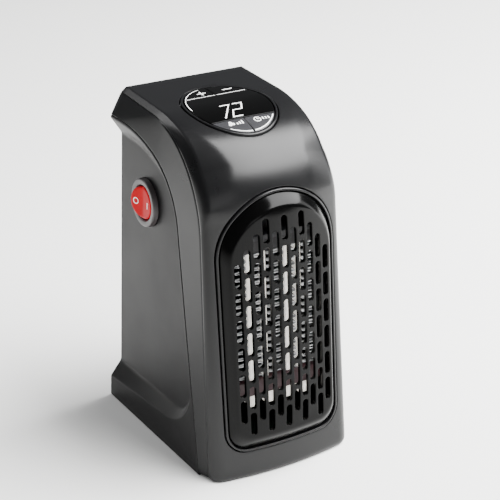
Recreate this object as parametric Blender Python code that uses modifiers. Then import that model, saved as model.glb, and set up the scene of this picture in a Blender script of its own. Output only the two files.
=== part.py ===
"""Plug-in fan heater, modelled as an assembly of its separate pieces.

Frame: the wall outlet's plate is the plane y = 0, the heater hangs in front of it on -Y,
+Z is up and +X is to the right of someone facing the heater.
The origin is the middle of the plug's face. Everything is in metres.
Heights in the constants are above the heater's base, depths are in front of its back edge.
"""

import math

import bmesh
import bpy
from mathutils import Matrix, Vector

# Clearances and walls
GAP = 0.0003
WALL = 0.0022
OVERRUN = 0.006
MERGE_DISTANCE = 0.00001

# Whole housing
HEIGHT = 0.160
BACK_SETBACK = 0.001
PLUG_DROP = 0.036
PLUG_HEIGHT = HEIGHT - PLUG_DROP
BASE_HALF_WIDTH = 0.045
SIDE_LEAN = math.radians(2.7)
SIDE_TOE = math.radians(4.5)
FRONT_LEAN = math.radians(4.2)

# Front shell: middle line of the falling front, the shoulder line beside it and the seam
FLAT_RUN = 0.038
CROWN_RADIUS = 0.090
CROWN_TURN = math.radians(16)
BEND_RADIUS = 0.036
CROWN_INSET = 0.015
CROWN_HALF_WIDTH = BASE_HALF_WIDTH - CROWN_INSET
TOP_BOW = 0.0062
BASE_BOW = 0.0026
SHOULDER_DROP = 0.002
SHOULDER_HEIGHT = HEIGHT - SHOULDER_DROP
SHOULDER_RUN = 0.034
SHOULDER_RADIUS = 0.046
SHOULDER_TOP_INSET = 0.0125
SHOULDER_TOP_HALF_WIDTH = BASE_HALF_WIDTH - SHOULDER_TOP_INSET
SHOULDER_BASE_INSET = 0.0088
SHOULDER_BASE_HALF_WIDTH = BASE_HALF_WIDTH - SHOULDER_BASE_INSET
SEAM_DROP = 0.012
SEAM_HEIGHT = HEIGHT - SEAM_DROP
SEAM_RUN = 0.010
SEAM_FIRST_RADIUS = 0.070
SEAM_FIRST_TURN = math.radians(25)
SEAM_BEND_RADIUS = 0.038
SEAM_LEAN = math.radians(11.3)

# Side panels and their hand recess
RECESS_REAR_DEPTH = 0.0055
FLOOR_TOE = math.radians(1.5)
RECESS_LAND = 0.0009
RECESS_RIM_FRONT = 0.0026
RECESS_RIM_REAR = 0.0095
RECESS_SKIRT_REAR = 0.0105
RECESS_SKIRT_FRONT = 0.015
RECESS_RAMP = 0.009
RECESS_CORNER = 0.024

# Air outlet in the front
WINDOW_HALF_WIDTH = 0.0296
WINDOW_DROP = 0.024
WINDOW_TOP = HEIGHT - WINDOW_DROP
WINDOW_BOTTOM = 0.0137
WINDOW_CORNER = 0.011
OUTLET_RING_WIDTH = 0.0014
OUTLET_RING_PROUD = 0.0005
OUTLET_RING_DEPTH = 0.0045
PLATEAU_HALF_WIDTH = 0.0241
PLATEAU_INSET = 0.0075
PLATEAU_TOP = WINDOW_TOP - PLATEAU_INSET
PLATEAU_BOTTOM = 0.0229
PLATEAU_CORNER = 0.008
PILLOW_RISE = 0.0036
PILLOW_CROWN = 0.0014
GRILLE_WALL = 0.0018
SLOT_INSET = 0.0103
SLOT_TOP = WINDOW_TOP - SLOT_INSET
SLOT_PITCH = 0.01295
SLOT_LENGTH = 0.011
SLOT_WIDTH = 0.0029
COLUMN_PITCH = 0.00435
SLOT_ROWS = round((SLOT_TOP - PLATEAU_BOTTOM) / SLOT_PITCH)
FIRST_ROW_SHARES = (0.0, 0.5, 0.0, 0.5, 1.0, 1.5)
PILLOW_SHARES = (0.0, 0.3, 0.65, 1.0)
PLATEAU_SHARES = (0.7, 0.36, 0.06)

# Control panel on the top
PANEL_MIDDLE = 0.0437
PANEL_HALF_WIDTH = 0.0209
PANEL_HALF_DEPTH = 0.0256
PANEL_RING_WIDTH = 0.0015
PANEL_RING_PROUD = 0.0004
REAR_KEY_LINE = 0.0315
FRONT_KEY_LINE = 0.057
KEY_THICKNESS = 0.002
KEY_PROUD = 0.0003
KEY_TRAVEL = 0.0008
KEY_CLEARANCE = 0.0007
BOARD_THICKNESS = 0.0016
CONTROL_BOARD_DROP = 0.014
CONTROL_BOARD_HEIGHT = HEIGHT - CONTROL_BOARD_DROP
TACT_SIZE = 0.0045
TACT_HEIGHT = 0.0035
TACT_STEM_RADIUS = 0.0017
TACT_LINE_SHARE = 0.78
REAR_KEY_REACH = 0.0075
FRONT_KEY_REACH = 0.0085
DIGIT_WIDTH = 0.026
DIGIT_DEPTH = 0.014
DIGIT_CLEARANCE = 0.0006

# Power switch in the left side panel
SWITCH_DEPTH = 0.027
SWITCH_DROP = 0.0465
SWITCH_HEIGHT = HEIGHT - SWITCH_DROP
SWITCH_FLANGE_RADIUS = 0.0115
SWITCH_FLANGE_THICKNESS = 0.0024
SWITCH_BARREL_RADIUS = 0.0101
SWITCH_BARREL_LENGTH = 0.015
SWITCH_CAVITY_RADIUS = 0.008
SWITCH_CAVITY_DEPTH = 0.0105
ROCKER_RADIUS = 0.0076
ROCKER_PIVOT_DEPTH = 0.0005
ROCKER_CROWN = 0.0026
ROCKER_SKIRT = 0.0034
ROCKER_TILT = math.radians(11)
ROCKER_PIN_RADIUS = 0.001
ROCKER_PIN_REACH = 0.0088
TERMINAL_WIDTH = 0.0048
TERMINAL_THICKNESS = 0.0008
TERMINAL_LENGTH = 0.008
TERMINAL_SPACING = 0.007

# Plug
TURNTABLE_RADIUS = 0.022
TURNTABLE_FLANGE_RADIUS = 0.0245
TURNTABLE_FLANGE_THICKNESS = 0.0025
TURNTABLE_BOSS_RADIUS = 0.0155
TURNTABLE_LENGTH = 0.012
BLADE_SPACING = 0.0127
BLADE_RISE = 0.0045
LINE_BLADE_WIDTH = 0.00635
NEUTRAL_BLADE_WIDTH = 0.0079
BLADE_THICKNESS = 0.0015
BLADE_REACH = 0.0165
BLADE_TAIL = 0.003
PIN_DROP = 0.0119
PIN_RADIUS = 0.0024
PIN_REACH = 0.0195
PIN_NOSE_SHARES = (0.8, 0.4)
RETAINER_RADIUS = 0.0295
RETAINER_THICKNESS = 0.002
RETAINER_POST_RING = 0.027
RETAINER_POST_RADIUS = 0.0021
POST_COUNT = 3

# Screws
SCREW_RADIUS = 0.0012
SCREW_HEAD_RADIUS = 0.0026
SCREW_HEAD_THICKNESS = 0.0016
SCREW_LENGTH = 0.010
SMALL_SCREW_RADIUS = 0.0008
SMALL_SCREW_HEAD_RADIUS = 0.0017
SMALL_SCREW_LENGTH = 0.005
SCREW_CROWN_SHARE = 0.8

# Rear cover
REAR_WALL = 0.0024
INTAKE_BOTTOM = 0.020
INTAKE_DROP = 0.032
INTAKE_TOP = PLUG_HEIGHT - INTAKE_DROP
INTAKE_HALF_WIDTH = 0.020
INTAKE_SLOT = 0.0026
INTAKE_RIB = 0.0036

# Heating element
ELEMENT_BOTTOM = 0.044
ELEMENT_TOP = 0.109
ELEMENT_FRONT = 0.087
ELEMENT_DEPTH = 0.015
BAR_COUNT = 4
BAR_WIDTH = 0.0026
FIN_PITCH = 0.004
FIN_THICKNESS = 0.0005
HOLDER_HALF_WIDTH = 0.022
HOLDER_HEIGHT = 0.006
HOLDER_LIP = 0.0008
HOLDER_BITE = 0.0018
CUTOUT_RADIUS = 0.005
CUTOUT_HEIGHT = 0.0045

# Fan
FAN_HEIGHT = 0.0765
FAN_RADIUS = 0.027
FAN_TIP_CLEARANCE = 0.001
FAN_HUB_RADIUS = 0.010
FAN_HUB_LENGTH = 0.012
FAN_HUB_FRONT = 0.064
FAN_BLADES = 7
BLADE_ROOT_SHARE = 0.42
BLADE_CHORD = 0.017
BLADE_SHEET = 0.0011
BLADE_PITCH = math.radians(38)
SHAFT_RADIUS = 0.001
SHAFT_BITE = 0.008
MOTOR_RADIUS = 0.012
MOTOR_LENGTH = 0.022
MOTOR_CLEARANCE = 0.0015
DUCT_FRONT = 0.068
DUCT_WALL = 0.0022
DUCT_HALF_WIDTH = 0.0295
DUCT_COLLAR = 0.019
DUCT_SHELF_HALF_WIDTH = 0.020
MOTOR_RING_WALL = 0.0022
MOTOR_RING_LENGTH = 0.010
SPOKE_WIDTH = 0.004
LEG_SIZE = 0.0062
LEG_OFFSET = 0.0262
LEG_LOW = 0.040
LEG_DROP = 0.026
LEG_HIGH = PLUG_HEIGHT - LEG_DROP

# Base and power board
BASE_WALL = 0.0024
POWER_BOARD_HEIGHT = 0.008
POWER_BOARD_HALF_WIDTH = 0.026
POWER_BOARD_REAR = 0.018
POWER_BOARD_FRONT = 0.080
PEG_RADIUS = 0.0025
PEG_INSET = 0.006
RELAY_SIZE = (0.015, 0.019, 0.0155)
RELAY_PLACE = (-0.010, 0.044)
CAPACITOR_RADIUS = 0.005
CAPACITOR_HEIGHT = 0.013
CAPACITOR_PLACE = (0.012, 0.038)
SENSOR_RADIUS = 0.0018
SENSOR_HEIGHT = 0.009
SENSOR_PLACE = (-0.020, 0.023)
LEAD_RADIUS = 0.0008
LEAD_DROP_SHARE = 0.3
MOTOR_LEAD_OFFSET = 0.003
MOTOR_LEAD_DEPTH = 0.0315

# Step counts
RUN_STEPS = 3
CROWN_STEPS = 3
BEND_STEPS = 7
FALL_STEPS = 5
CROWN_SEGMENTS = 5
SHOULDER_SEGMENTS = 4
BAND_SEGMENTS = 2
ARCH_STEPS = 16
CORNER_STEPS = 4
SIDE_STEPS = 3
PANEL_STEPS = 36
SLOT_END_STEPS = 3
LEAD_STEPS = 4
ROUND_STEPS = 28
SMALL_ROUND_STEPS = 12
ROCKER_SEGMENTS = 24
ROCKER_RINGS = 14

BASE_Z = -PLUG_HEIGHT
BACK_Y = -BACK_SETBACK


def clear_scene():
    for obj in list(bpy.data.objects):
        bpy.data.objects.remove(obj, do_unlink=True)
    for group in list(bpy.data.collections):
        bpy.data.collections.remove(group)


def make_collection(name):
    group = bpy.data.collections.new(name)
    bpy.context.scene.collection.children.link(group)
    return group


clear_scene()
PARTS = make_collection("plug_in_fan_heater")
CUTTERS = make_collection("cutters")


def material(name, color, roughness, metallic=0.0):
    made = bpy.data.materials.get(name)
    if made:
        return made
    made = bpy.data.materials.new(name)
    made.use_nodes = True
    shader = made.node_tree.nodes["Principled BSDF"]
    shader.inputs["Base Color"].default_value = (*color, 1.0)
    shader.inputs["Roughness"].default_value = roughness
    shader.inputs["Metallic"].default_value = metallic
    return made


CHARCOAL = material("charcoal_plastic", (0.055, 0.055, 0.058), 0.42)
BLACK_GLOSS = material("black_gloss_plastic", (0.008, 0.008, 0.009), 0.12)
BLACK_MATT = material("black_matt_plastic", (0.012, 0.012, 0.013), 0.5)
KEY_GREY = material("key_grey_plastic", (0.03, 0.03, 0.033), 0.35)
RED = material("red_lens_plastic", (0.72, 0.03, 0.045), 0.2)
WHITE = material("white_ceramic", (0.80, 0.78, 0.74), 0.45)
ALUMINIUM = material("aluminium", (0.62, 0.62, 0.63), 0.35, 1.0)
STEEL = material("steel", (0.55, 0.55, 0.56), 0.3, 1.0)
BRASS = material("brass", (0.80, 0.62, 0.28), 0.28, 1.0)
BOARD_GREEN = material("board_green", (0.02, 0.16, 0.06), 0.5)
DUCT_PLASTIC = material("duct_plastic", (0.05, 0.05, 0.05), 0.6)
FAN_WHITE = material("fan_plastic", (0.62, 0.62, 0.6), 0.5)
RELAY_BLUE = material("relay_plastic", (0.03, 0.12, 0.42), 0.4)
LEAD_RED = material("lead_red", (0.5, 0.02, 0.02), 0.5)


def add_mesh(name, mesh, look=None, group=PARTS):
    obj = bpy.data.objects.new(name, mesh)
    group.objects.link(obj)
    if look:
        mesh.materials.append(look)
    if group is CUTTERS:
        obj.hide_render = True
        obj.display_type = "WIRE"
    return obj


def mesh_from(bm, name):
    bmesh.ops.recalc_face_normals(bm, faces=bm.faces)
    mesh = bpy.data.meshes.new(name)
    bm.to_mesh(mesh)
    bm.free()
    return mesh


def round_off(obj):
    obj.data.shade_smooth()
    obj.data.set_sharp_from_angle(angle=math.radians(35))
    return obj


def box(name, low, high, look=None, group=PARTS):
    """A box from its lowest to its highest corner, with heights above the base."""
    bm = bmesh.new()
    bmesh.ops.create_cube(bm, size=1.0)
    size = [b - a for a, b in zip(low, high)]
    middle = [(a + b) / 2 for a, b in zip(low, high)]
    bmesh.ops.scale(bm, vec=size, verts=bm.verts)
    bmesh.ops.translate(bm, vec=(middle[0], middle[1], middle[2] + BASE_Z), verts=bm.verts)
    return add_mesh(name, mesh_from(bm, name), look, group)


def turned(name, profile, look=None, group=PARTS, steps=ROUND_STEPS):
    """A solid turned about local Z from (radius, height) points, top to bottom."""
    mesh = bpy.data.meshes.new(name)
    bm = bmesh.new()
    ring = profile[0] == profile[-1]
    corners = [bm.verts.new((radius, 0, height)) for radius, height in profile[ring:]]
    for first, second in zip(corners, corners[1:] + corners[:ring]):
        bm.edges.new((first, second))
    bm.to_mesh(mesh)
    bm.free()
    obj = add_mesh(name, mesh, look, group)
    screw = obj.modifiers.new("turn", "SCREW")
    screw.axis = "Z"
    screw.steps = steps
    screw.render_steps = steps
    screw.use_merge_vertices = True
    screw.merge_threshold = MERGE_DISTANCE
    return obj


def cylinder(name, radius, bottom, top, look=None, group=PARTS, steps=ROUND_STEPS):
    return turned(name, [(0, top), (radius, top), (radius, bottom), (0, bottom)], look, group, steps)


def outline_solid(name, outline, low, high, look=None, group=PARTS):
    """A flat outline in local XY, filled and raised from low to high on local Z."""
    curve = bpy.data.curves.new(name, "CURVE")
    curve.dimensions = "2D"
    curve.fill_mode = "BOTH"
    curve.extrude = (high - low) / 2
    loops = outline if isinstance(outline[0][0], (tuple, list)) else [outline]
    for loop in loops:
        spline = curve.splines.new("POLY")
        spline.points.add(len(loop) - 1)
        for point, (x, y) in zip(spline.points, loop):
            point.co = (x, y, 0, 1)
        spline.use_cyclic_u = True
    drawn = bpy.data.objects.new(name + "_outline", curve)
    PARTS.objects.link(drawn)
    bpy.context.view_layer.update()
    mesh = bpy.data.meshes.new_from_object(drawn.evaluated_get(bpy.context.evaluated_depsgraph_get()))
    bpy.data.objects.remove(drawn, do_unlink=True)
    bm = bmesh.new()
    bm.from_mesh(mesh)
    bmesh.ops.remove_doubles(bm, verts=bm.verts, dist=MERGE_DISTANCE)
    bmesh.ops.translate(bm, vec=(0, 0, (high + low) / 2), verts=bm.verts)
    bpy.data.meshes.remove(mesh)
    return add_mesh(name, mesh_from(bm, name), look, group)


def modify(obj, kind, tool, operation):
    step = obj.modifiers.new(kind + "_" + tool.name, "BOOLEAN")
    step.operation = operation
    step.solver = "EXACT"
    step.object = tool
    return obj


def cut(obj, tool):
    return modify(obj, "cut", tool, "DIFFERENCE")


def join(obj, tool):
    return modify(obj, "join", tool, "UNION")


def place(obj, location, rotation=(0, 0, 0)):
    obj.location = location
    obj.rotation_euler = rotation
    return obj


def at(x, depth, height):
    """The world point at a depth in front of the back edge and a height above the base."""
    return Vector((x, BACK_Y - depth, BASE_Z + height))


ALONG_FRONT = (math.radians(90), 0, 0)
ALONG_BACK = (math.radians(-90), 0, 0)


# The falling lines of the front shell, as depths, heights and headings


def rail(height, run, first_radius, first_turn, second_radius, last_turn):
    """Points from the back edge forwards and down to the base: (depth, height, heading)."""
    points = [(run * i / RUN_STEPS, height, 0.0) for i in range(RUN_STEPS + 1)]
    depth, level, heading = points[-1]
    for radius, turn, steps in (
        (first_radius, first_turn, CROWN_STEPS), (second_radius, last_turn, BEND_STEPS)
    ):
        start = heading
        for i in range(1, steps + 1):
            angle = start + (turn - start) * i / steps
            points.append((
                depth + radius * (math.sin(angle) - math.sin(start)),
                level - radius * (math.cos(start) - math.cos(angle)),
                angle,
            ))
        depth, level, heading = points[-1]
    slope = math.tan(math.pi / 2 - heading)
    for i in range(1, FALL_STEPS + 1):
        drop = level * i / FALL_STEPS
        points.append((depth + drop * slope, level - drop, heading))
    return points


MIDDLE = rail(HEIGHT, FLAT_RUN, CROWN_RADIUS, CROWN_TURN, BEND_RADIUS, math.pi / 2 - FRONT_LEAN)
SHOULDER = rail(
    SHOULDER_HEIGHT, SHOULDER_RUN, SHOULDER_RADIUS, CROWN_TURN, SHOULDER_RADIUS,
    math.pi / 2 - FRONT_LEAN,
)
SEAM = rail(
    SEAM_HEIGHT, SEAM_RUN, SEAM_FIRST_RADIUS, SEAM_FIRST_TURN, SEAM_BEND_RADIUS,
    math.pi / 2 - SEAM_LEAN,
)
SQUARE = math.pi / 2 - FRONT_LEAN


def side_half_width(depth, height):
    return BASE_HALF_WIDTH - height * math.tan(SIDE_LEAN) - depth * math.tan(SIDE_TOE)


def floor_half_width(depth, height):
    rear = BASE_HALF_WIDTH - RECESS_REAR_DEPTH
    return rear - height * math.tan(SIDE_LEAN) - depth * math.tan(FLOOR_TOE)


def shoulder_half_width(height):
    share = height / SHOULDER_HEIGHT
    return SHOULDER_BASE_HALF_WIDTH + (SHOULDER_TOP_HALF_WIDTH - SHOULDER_BASE_HALF_WIDTH) * share


def mix(first, second, share):
    return first + (second - first) * share


def bow_at(height, heading):
    return mix(BASE_BOW, TOP_BOW, height / HEIGHT) * heading / SQUARE


def crown_point(station, x):
    depth, height, heading = MIDDLE[station]
    fall = bow_at(height, heading) * (x / CROWN_HALF_WIDTH) ** 2
    return Vector((x, depth - fall * math.sin(heading), height - fall * math.cos(heading)))


def half_section(station):
    """One side of the shell's outer section, from the middle line out to the seam."""
    _, level, heading = MIDDLE[station]
    points = [
        crown_point(station, CROWN_HALF_WIDTH * i / CROWN_SEGMENTS) for i in range(CROWN_SEGMENTS + 1)
    ]
    crease = points[-1]
    depth, height, _ = SHOULDER[station]
    edge = Vector((shoulder_half_width(height), depth, height))
    fall = 2 * bow_at(level, heading) / CROWN_HALF_WIDTH * (edge.x - crease.x)
    square = Vector((
        edge.x, crease.y - fall * math.sin(heading), crease.z - fall * math.cos(heading)
    ))
    corner = mix((crease + edge) / 2, square, heading / SQUARE)
    for i in range(1, SHOULDER_SEGMENTS + 1):
        share = i / SHOULDER_SEGMENTS
        points.append(mix(mix(crease, corner, share), mix(corner, edge, share), share))
    depth, height, _ = SEAM[station]
    seam = Vector((side_half_width(depth, height), depth, height))
    for i in range(1, BAND_SEGMENTS + 1):
        points.append(mix(edge, seam, i / BAND_SEGMENTS))
    return points


def grid_normals(grid):
    rows = len(grid)
    columns = len(grid[0])
    normals = []
    for i in range(rows):
        line = []
        for j in range(columns):
            along = grid[min(i + 1, rows - 1)][j] - grid[max(i - 1, 0)][j]
            across = grid[i][min(j + 1, columns - 1)] - grid[i][max(j - 1, 0)]
            line.append(along.cross(across).normalized())
        normals.append(line)
    return normals


def shell_grid(grid, inner):
    """A closed shell between an outer and an inner grid of the same counts."""
    bm = bmesh.new()
    outer_rows = [[bm.verts.new(point) for point in row] for row in grid]
    inner_rows = [[bm.verts.new(point) for point in row] for row in inner]
    rows = len(grid)
    columns = len(grid[0])
    for layer in (outer_rows, inner_rows):
        for i in range(rows - 1):
            for j in range(columns - 1):
                bm.faces.new((layer[i][j], layer[i][j + 1], layer[i + 1][j + 1], layer[i + 1][j]))
    for i in range(rows - 1):
        for j in (0, columns - 1):
            bm.faces.new((
                outer_rows[i][j], outer_rows[i + 1][j], inner_rows[i + 1][j], inner_rows[i][j]
            ))
    for j in range(columns - 1):
        for i in (0, rows - 1):
            bm.faces.new((
                outer_rows[i][j], outer_rows[i][j + 1], inner_rows[i][j + 1], inner_rows[i][j]
            ))
    bmesh.ops.triangulate(bm, faces=bm.faces)
    return bm


def to_world(point):
    return at(point.x, point.y, point.z)


def eased_shoulders(line, share):
    """An inner row whose shoulders are straight at the back, where they would fold over."""
    middle = len(line) // 2
    eased = list(line)
    for side in (-1, 1):
        crease = middle + side * CROWN_SEGMENTS
        edge = crease + side * SHOULDER_SEGMENTS
        for i in range(1, SHOULDER_SEGMENTS):
            straight = mix(line[crease], line[edge], i / SHOULDER_SEGMENTS)
            eased[crease + side * i] = mix(straight, line[crease + side * i], share)
    return eased


def build_front_shell():
    grid = []
    for station in range(len(MIDDLE)):
        half = half_section(station)
        left = [Vector((-point.x, point.y, point.z)) for point in reversed(half[1:])]
        grid.append([to_world(point) for point in left + half])
    normals = grid_normals(grid)
    inner = []
    for i, row in enumerate(grid):
        line = []
        for j, point in enumerate(row):
            normal = normals[i][j]
            if i <= RUN_STEPS:
                normal = Vector((normal.x, 0, normal.z)).normalized()
            if j in (0, len(row) - 1):
                normal = Vector((math.copysign(1, point.x), 0, 0))
            inside = point - normal * WALL
            if i == 0:
                inside.y = point.y
            if i == len(grid) - 1:
                inside.z = point.z
            line.append(inside)
        inner.append(eased_shoulders(line, MIDDLE[i][2] / SQUARE))
    bm = shell_grid(grid, inner)
    shell = round_off(add_mesh("front_shell", mesh_from(bm, "front_shell"), CHARCOAL))
    window = outline_solid(
        "cut_window", window_outline(0), 0, FLAT_RUN + OVERRUN, group=CUTTERS
    )
    cut(shell, place(window, at(0, FLAT_RUN + BEND_RADIUS - OVERRUN, 0), ALONG_FRONT))
    panel = outline_solid("cut_panel", panel_outline(0), HEIGHT - BEND_RADIUS, HEIGHT + OVERRUN,
                          group=CUTTERS)
    cut(shell, place(panel, at(0, 0, 0)))
    return shell


# Outlines on the front and the top


def rounded_arch(half_width, bottom, top, corner):
    """An arch with a half-round top and two rounded lower corners, as (x, height) points."""
    springing = top - half_width
    points = []
    for i in range(ARCH_STEPS + 1):
        angle = math.pi * i / ARCH_STEPS
        points.append((half_width * math.cos(angle), springing + half_width * math.sin(angle)))
    for i in range(1, SIDE_STEPS):
        points.append((-half_width, mix(springing, bottom + corner, i / SIDE_STEPS)))
    for i in range(CORNER_STEPS + 1):
        angle = math.pi + math.pi / 2 * i / CORNER_STEPS
        points.append((
            corner - half_width + corner * math.cos(angle), bottom + corner + corner * math.sin(angle)
        ))
    for i in range(1, SIDE_STEPS):
        points.append((mix(corner - half_width, half_width - corner, i / SIDE_STEPS), bottom))
    for i in range(CORNER_STEPS + 1):
        angle = 3 * math.pi / 2 + math.pi / 2 * i / CORNER_STEPS
        points.append((
            half_width - corner + corner * math.cos(angle), bottom + corner + corner * math.sin(angle)
        ))
    for i in range(1, SIDE_STEPS):
        points.append((half_width, mix(bottom + corner, springing, i / SIDE_STEPS)))
    return points


def window_outline(inset):
    return rounded_arch(
        WINDOW_HALF_WIDTH - inset, WINDOW_BOTTOM + inset, WINDOW_TOP - inset, WINDOW_CORNER - inset
    )


def plateau_outline():
    return rounded_arch(PLATEAU_HALF_WIDTH, PLATEAU_BOTTOM, PLATEAU_TOP, PLATEAU_CORNER)


def panel_outline(inset):
    """The control panel's oval, as (x, y) points in the world's top view."""
    points = []
    for i in range(PANEL_STEPS):
        angle = 2 * math.pi * i / PANEL_STEPS
        points.append((
            (PANEL_HALF_WIDTH - inset) * math.cos(angle),
            (PANEL_HALF_DEPTH - inset) * math.sin(angle) - PANEL_MIDDLE,
        ))
    return points


def middle_at(value, column):
    """The middle line where its depth (column 0) or height (column 1) has a value."""
    for first, second in zip(MIDDLE, MIDDLE[1:]):
        low, high = sorted((first[column], second[column]))
        if low <= value <= high and high > low:
            share = (value - first[column]) / (second[column] - first[column])
            return [mix(a, b, share) for a, b in zip(first, second)]
    return list(MIDDLE[-1])


def front_depth(x, height):
    """Depth of the shell's front face at a place in the front view."""
    depth, _, heading = middle_at(height, 1)
    return depth - bow_at(height, heading) * (x / CROWN_HALF_WIDTH) ** 2


def top_height(x, depth):
    """Height of the shell's top face at a place in the top view."""
    _, height, heading = middle_at(depth, 0)
    return height - bow_at(height, heading) * (x / CROWN_HALF_WIDTH) ** 2


def lofted(name, loops, look, closing=None):
    """A closed solid through loops of equal counts, the last joined to the first."""
    bm = bmesh.new()
    rings = [[bm.verts.new(point) for point in loop] for loop in loops]
    count = len(rings[0])
    pairs = list(zip(rings, rings[1:]))
    if closing is None:
        pairs.append((rings[-1], rings[0]))
    for first, second in pairs:
        for j in range(count):
            k = (j + 1) % count
            bm.faces.new((first[j], first[k], second[k], second[j]))
    if closing:
        for ring in (rings[0], rings[-1]):
            closing(bm, ring)
    return round_off(add_mesh(name, mesh_from(bm, name), look))


def draped(outline, offset):
    """An outline laid on the front face, pushed out by an offset."""
    return [at(x, front_depth(x, z) + offset, z) for x, z in outline]


def build_outlet_ring():
    outer = window_outline(GAP)
    inner = window_outline(GAP + OUTLET_RING_WIDTH)
    loops = [
        draped(outer, OUTLET_RING_PROUD),
        draped(inner, OUTLET_RING_PROUD),
        draped(inner, -OUTLET_RING_DEPTH),
        draped(outer, -OUTLET_RING_DEPTH),
    ]
    return lofted("outlet_ring", loops, CHARCOAL)


def close_spine(bm, ring):
    """Fills the narrow inner ring of the pillow with a strip across it."""
    count = len(ring)
    apex = ARCH_STEPS // 2
    order = [(apex - i) % count for i in range(count // 2 + 1)]
    other = [(apex + i) % count for i in range(count // 2 + 1)]
    for i in range(len(order) - 1):
        corners = []
        for vert in (ring[order[i]], ring[other[i]], ring[other[i + 1]], ring[order[i + 1]]):
            if vert not in corners:
                corners.append(vert)
        if len(corners) > 2:
            bm.faces.new(corners)


def pillow_loops(sink):
    """Loops from the pillow's edge to its spine, sunk by a thickness."""
    edge = window_outline(OUTLET_RING_WIDTH + 2 * GAP)
    plateau = plateau_outline()
    loops = []
    for share in PILLOW_SHARES:
        rise = PILLOW_RISE * math.sin(share * math.pi / 2)
        loop = [(mix(a[0], b[0], share), mix(a[1], b[1], share)) for a, b in zip(edge, plateau)]
        loops.append(draped(loop, rise - sink))
    middle = (PLATEAU_TOP + PLATEAU_BOTTOM) / 2
    spine = PLATEAU_TOP - PLATEAU_HALF_WIDTH
    for share in PLATEAU_SHARES:
        loop = []
        for x, z in plateau:
            near = min(max(z, 2 * middle - spine), spine)
            loop.append((x * share, mix(near, z, share)))
        loops.append([
            at(x, front_depth(x, z) + PILLOW_RISE - sink
               + PILLOW_CROWN * (1 - (x / PLATEAU_HALF_WIDTH) ** 2) * (1 - share), z)
            for x, z in loop
        ])
    return loops


def slot_rows():
    """Every slot of the outlet grille: its column, counted from the middle, and its top."""
    outermost = len(FIRST_ROW_SHARES) - 1
    for column in range(-outermost, outermost + 1):
        start = FIRST_ROW_SHARES[abs(column)]
        for row in range(SLOT_ROWS - math.ceil(start)):
            yield column, SLOT_TOP - (start + row) * SLOT_PITCH


def stadium(x, top, width, length):
    points = []
    radius = width / 2
    for sign, middle in ((1, top - radius), (-1, top - length + radius)):
        for i in range(SLOT_END_STEPS + 1):
            angle = math.pi * i / SLOT_END_STEPS
            points.append((
                x + sign * radius * math.cos(angle), middle + sign * radius * math.sin(angle)
            ))
    return points


def build_outlet_grille():
    outer = pillow_loops(0)
    inner = pillow_loops(GRILLE_WALL)
    loops = list(reversed(outer)) + inner
    grille = lofted("outlet_grille", loops, BLACK_GLOSS, close_spine)
    slots = [
        stadium(column * COLUMN_PITCH, top, SLOT_WIDTH, SLOT_LENGTH) for column, top in slot_rows()
    ]
    tool = outline_solid("cut_slots", slots, 0, BEND_RADIUS, group=CUTTERS)
    return cut(grille, place(tool, at(0, FLAT_RUN + BEND_RADIUS, 0), ALONG_FRONT))


# Side panels


def seam_outline(rear, front):
    """The seam's line moved back and down, by one clearance at the rear and one at the front."""
    points = []
    for depth, height, heading in SEAM:
        step = mix(rear, front, heading / SEAM[-1][2])
        points.append((depth - step * math.sin(heading), height - step * math.cos(heading)))
    return points


def panel_prism(name, outline, inner, outer, side, look=None, group=PARTS):
    """A solid between two surfaces over an outline in the side view."""
    loops = []
    for surface in (inner, outer):
        loops.append([at(side * surface(depth, height), depth, height) for depth, height in outline])
    bm = bmesh.new()
    rings = [[bm.verts.new(point) for point in loop] for loop in loops]
    count = len(rings[0])
    for j in range(count):
        k = (j + 1) % count
        bm.faces.new((rings[0][j], rings[0][k], rings[1][k], rings[1][j]))
    for ring in rings:
        bm.faces.new(ring)
    bmesh.ops.triangulate(bm, faces=[face for face in bm.faces if len(face.verts) > 4])
    return add_mesh(name, mesh_from(bm, name), look, group)


def recess_outline(rear, front, lift):
    """The hand recess in the side view, open at the back, inside the seam by a rim."""
    corner_top = RECESS_SKIRT_FRONT + RECESS_CORNER
    edge = [point for point in seam_outline(GAP + rear, GAP + front) if point[1] > corner_top]
    edge[0] = (-OVERRUN, edge[0][1])
    low = RECESS_SKIRT_FRONT + lift
    last = edge[-1]
    corner = [last]
    middle = (last[0] - RECESS_CORNER + lift, low + RECESS_CORNER - lift)
    for i in range(1, CORNER_STEPS + 1):
        angle = math.pi / 2 * i / CORNER_STEPS
        corner.append((
            middle[0] + (last[0] - middle[0]) * math.cos(angle),
            mix(last[1], low, math.sin(angle)),
        ))
    return edge[:-1] + corner + [(-OVERRUN, RECESS_SKIRT_REAR + lift)]


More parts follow.
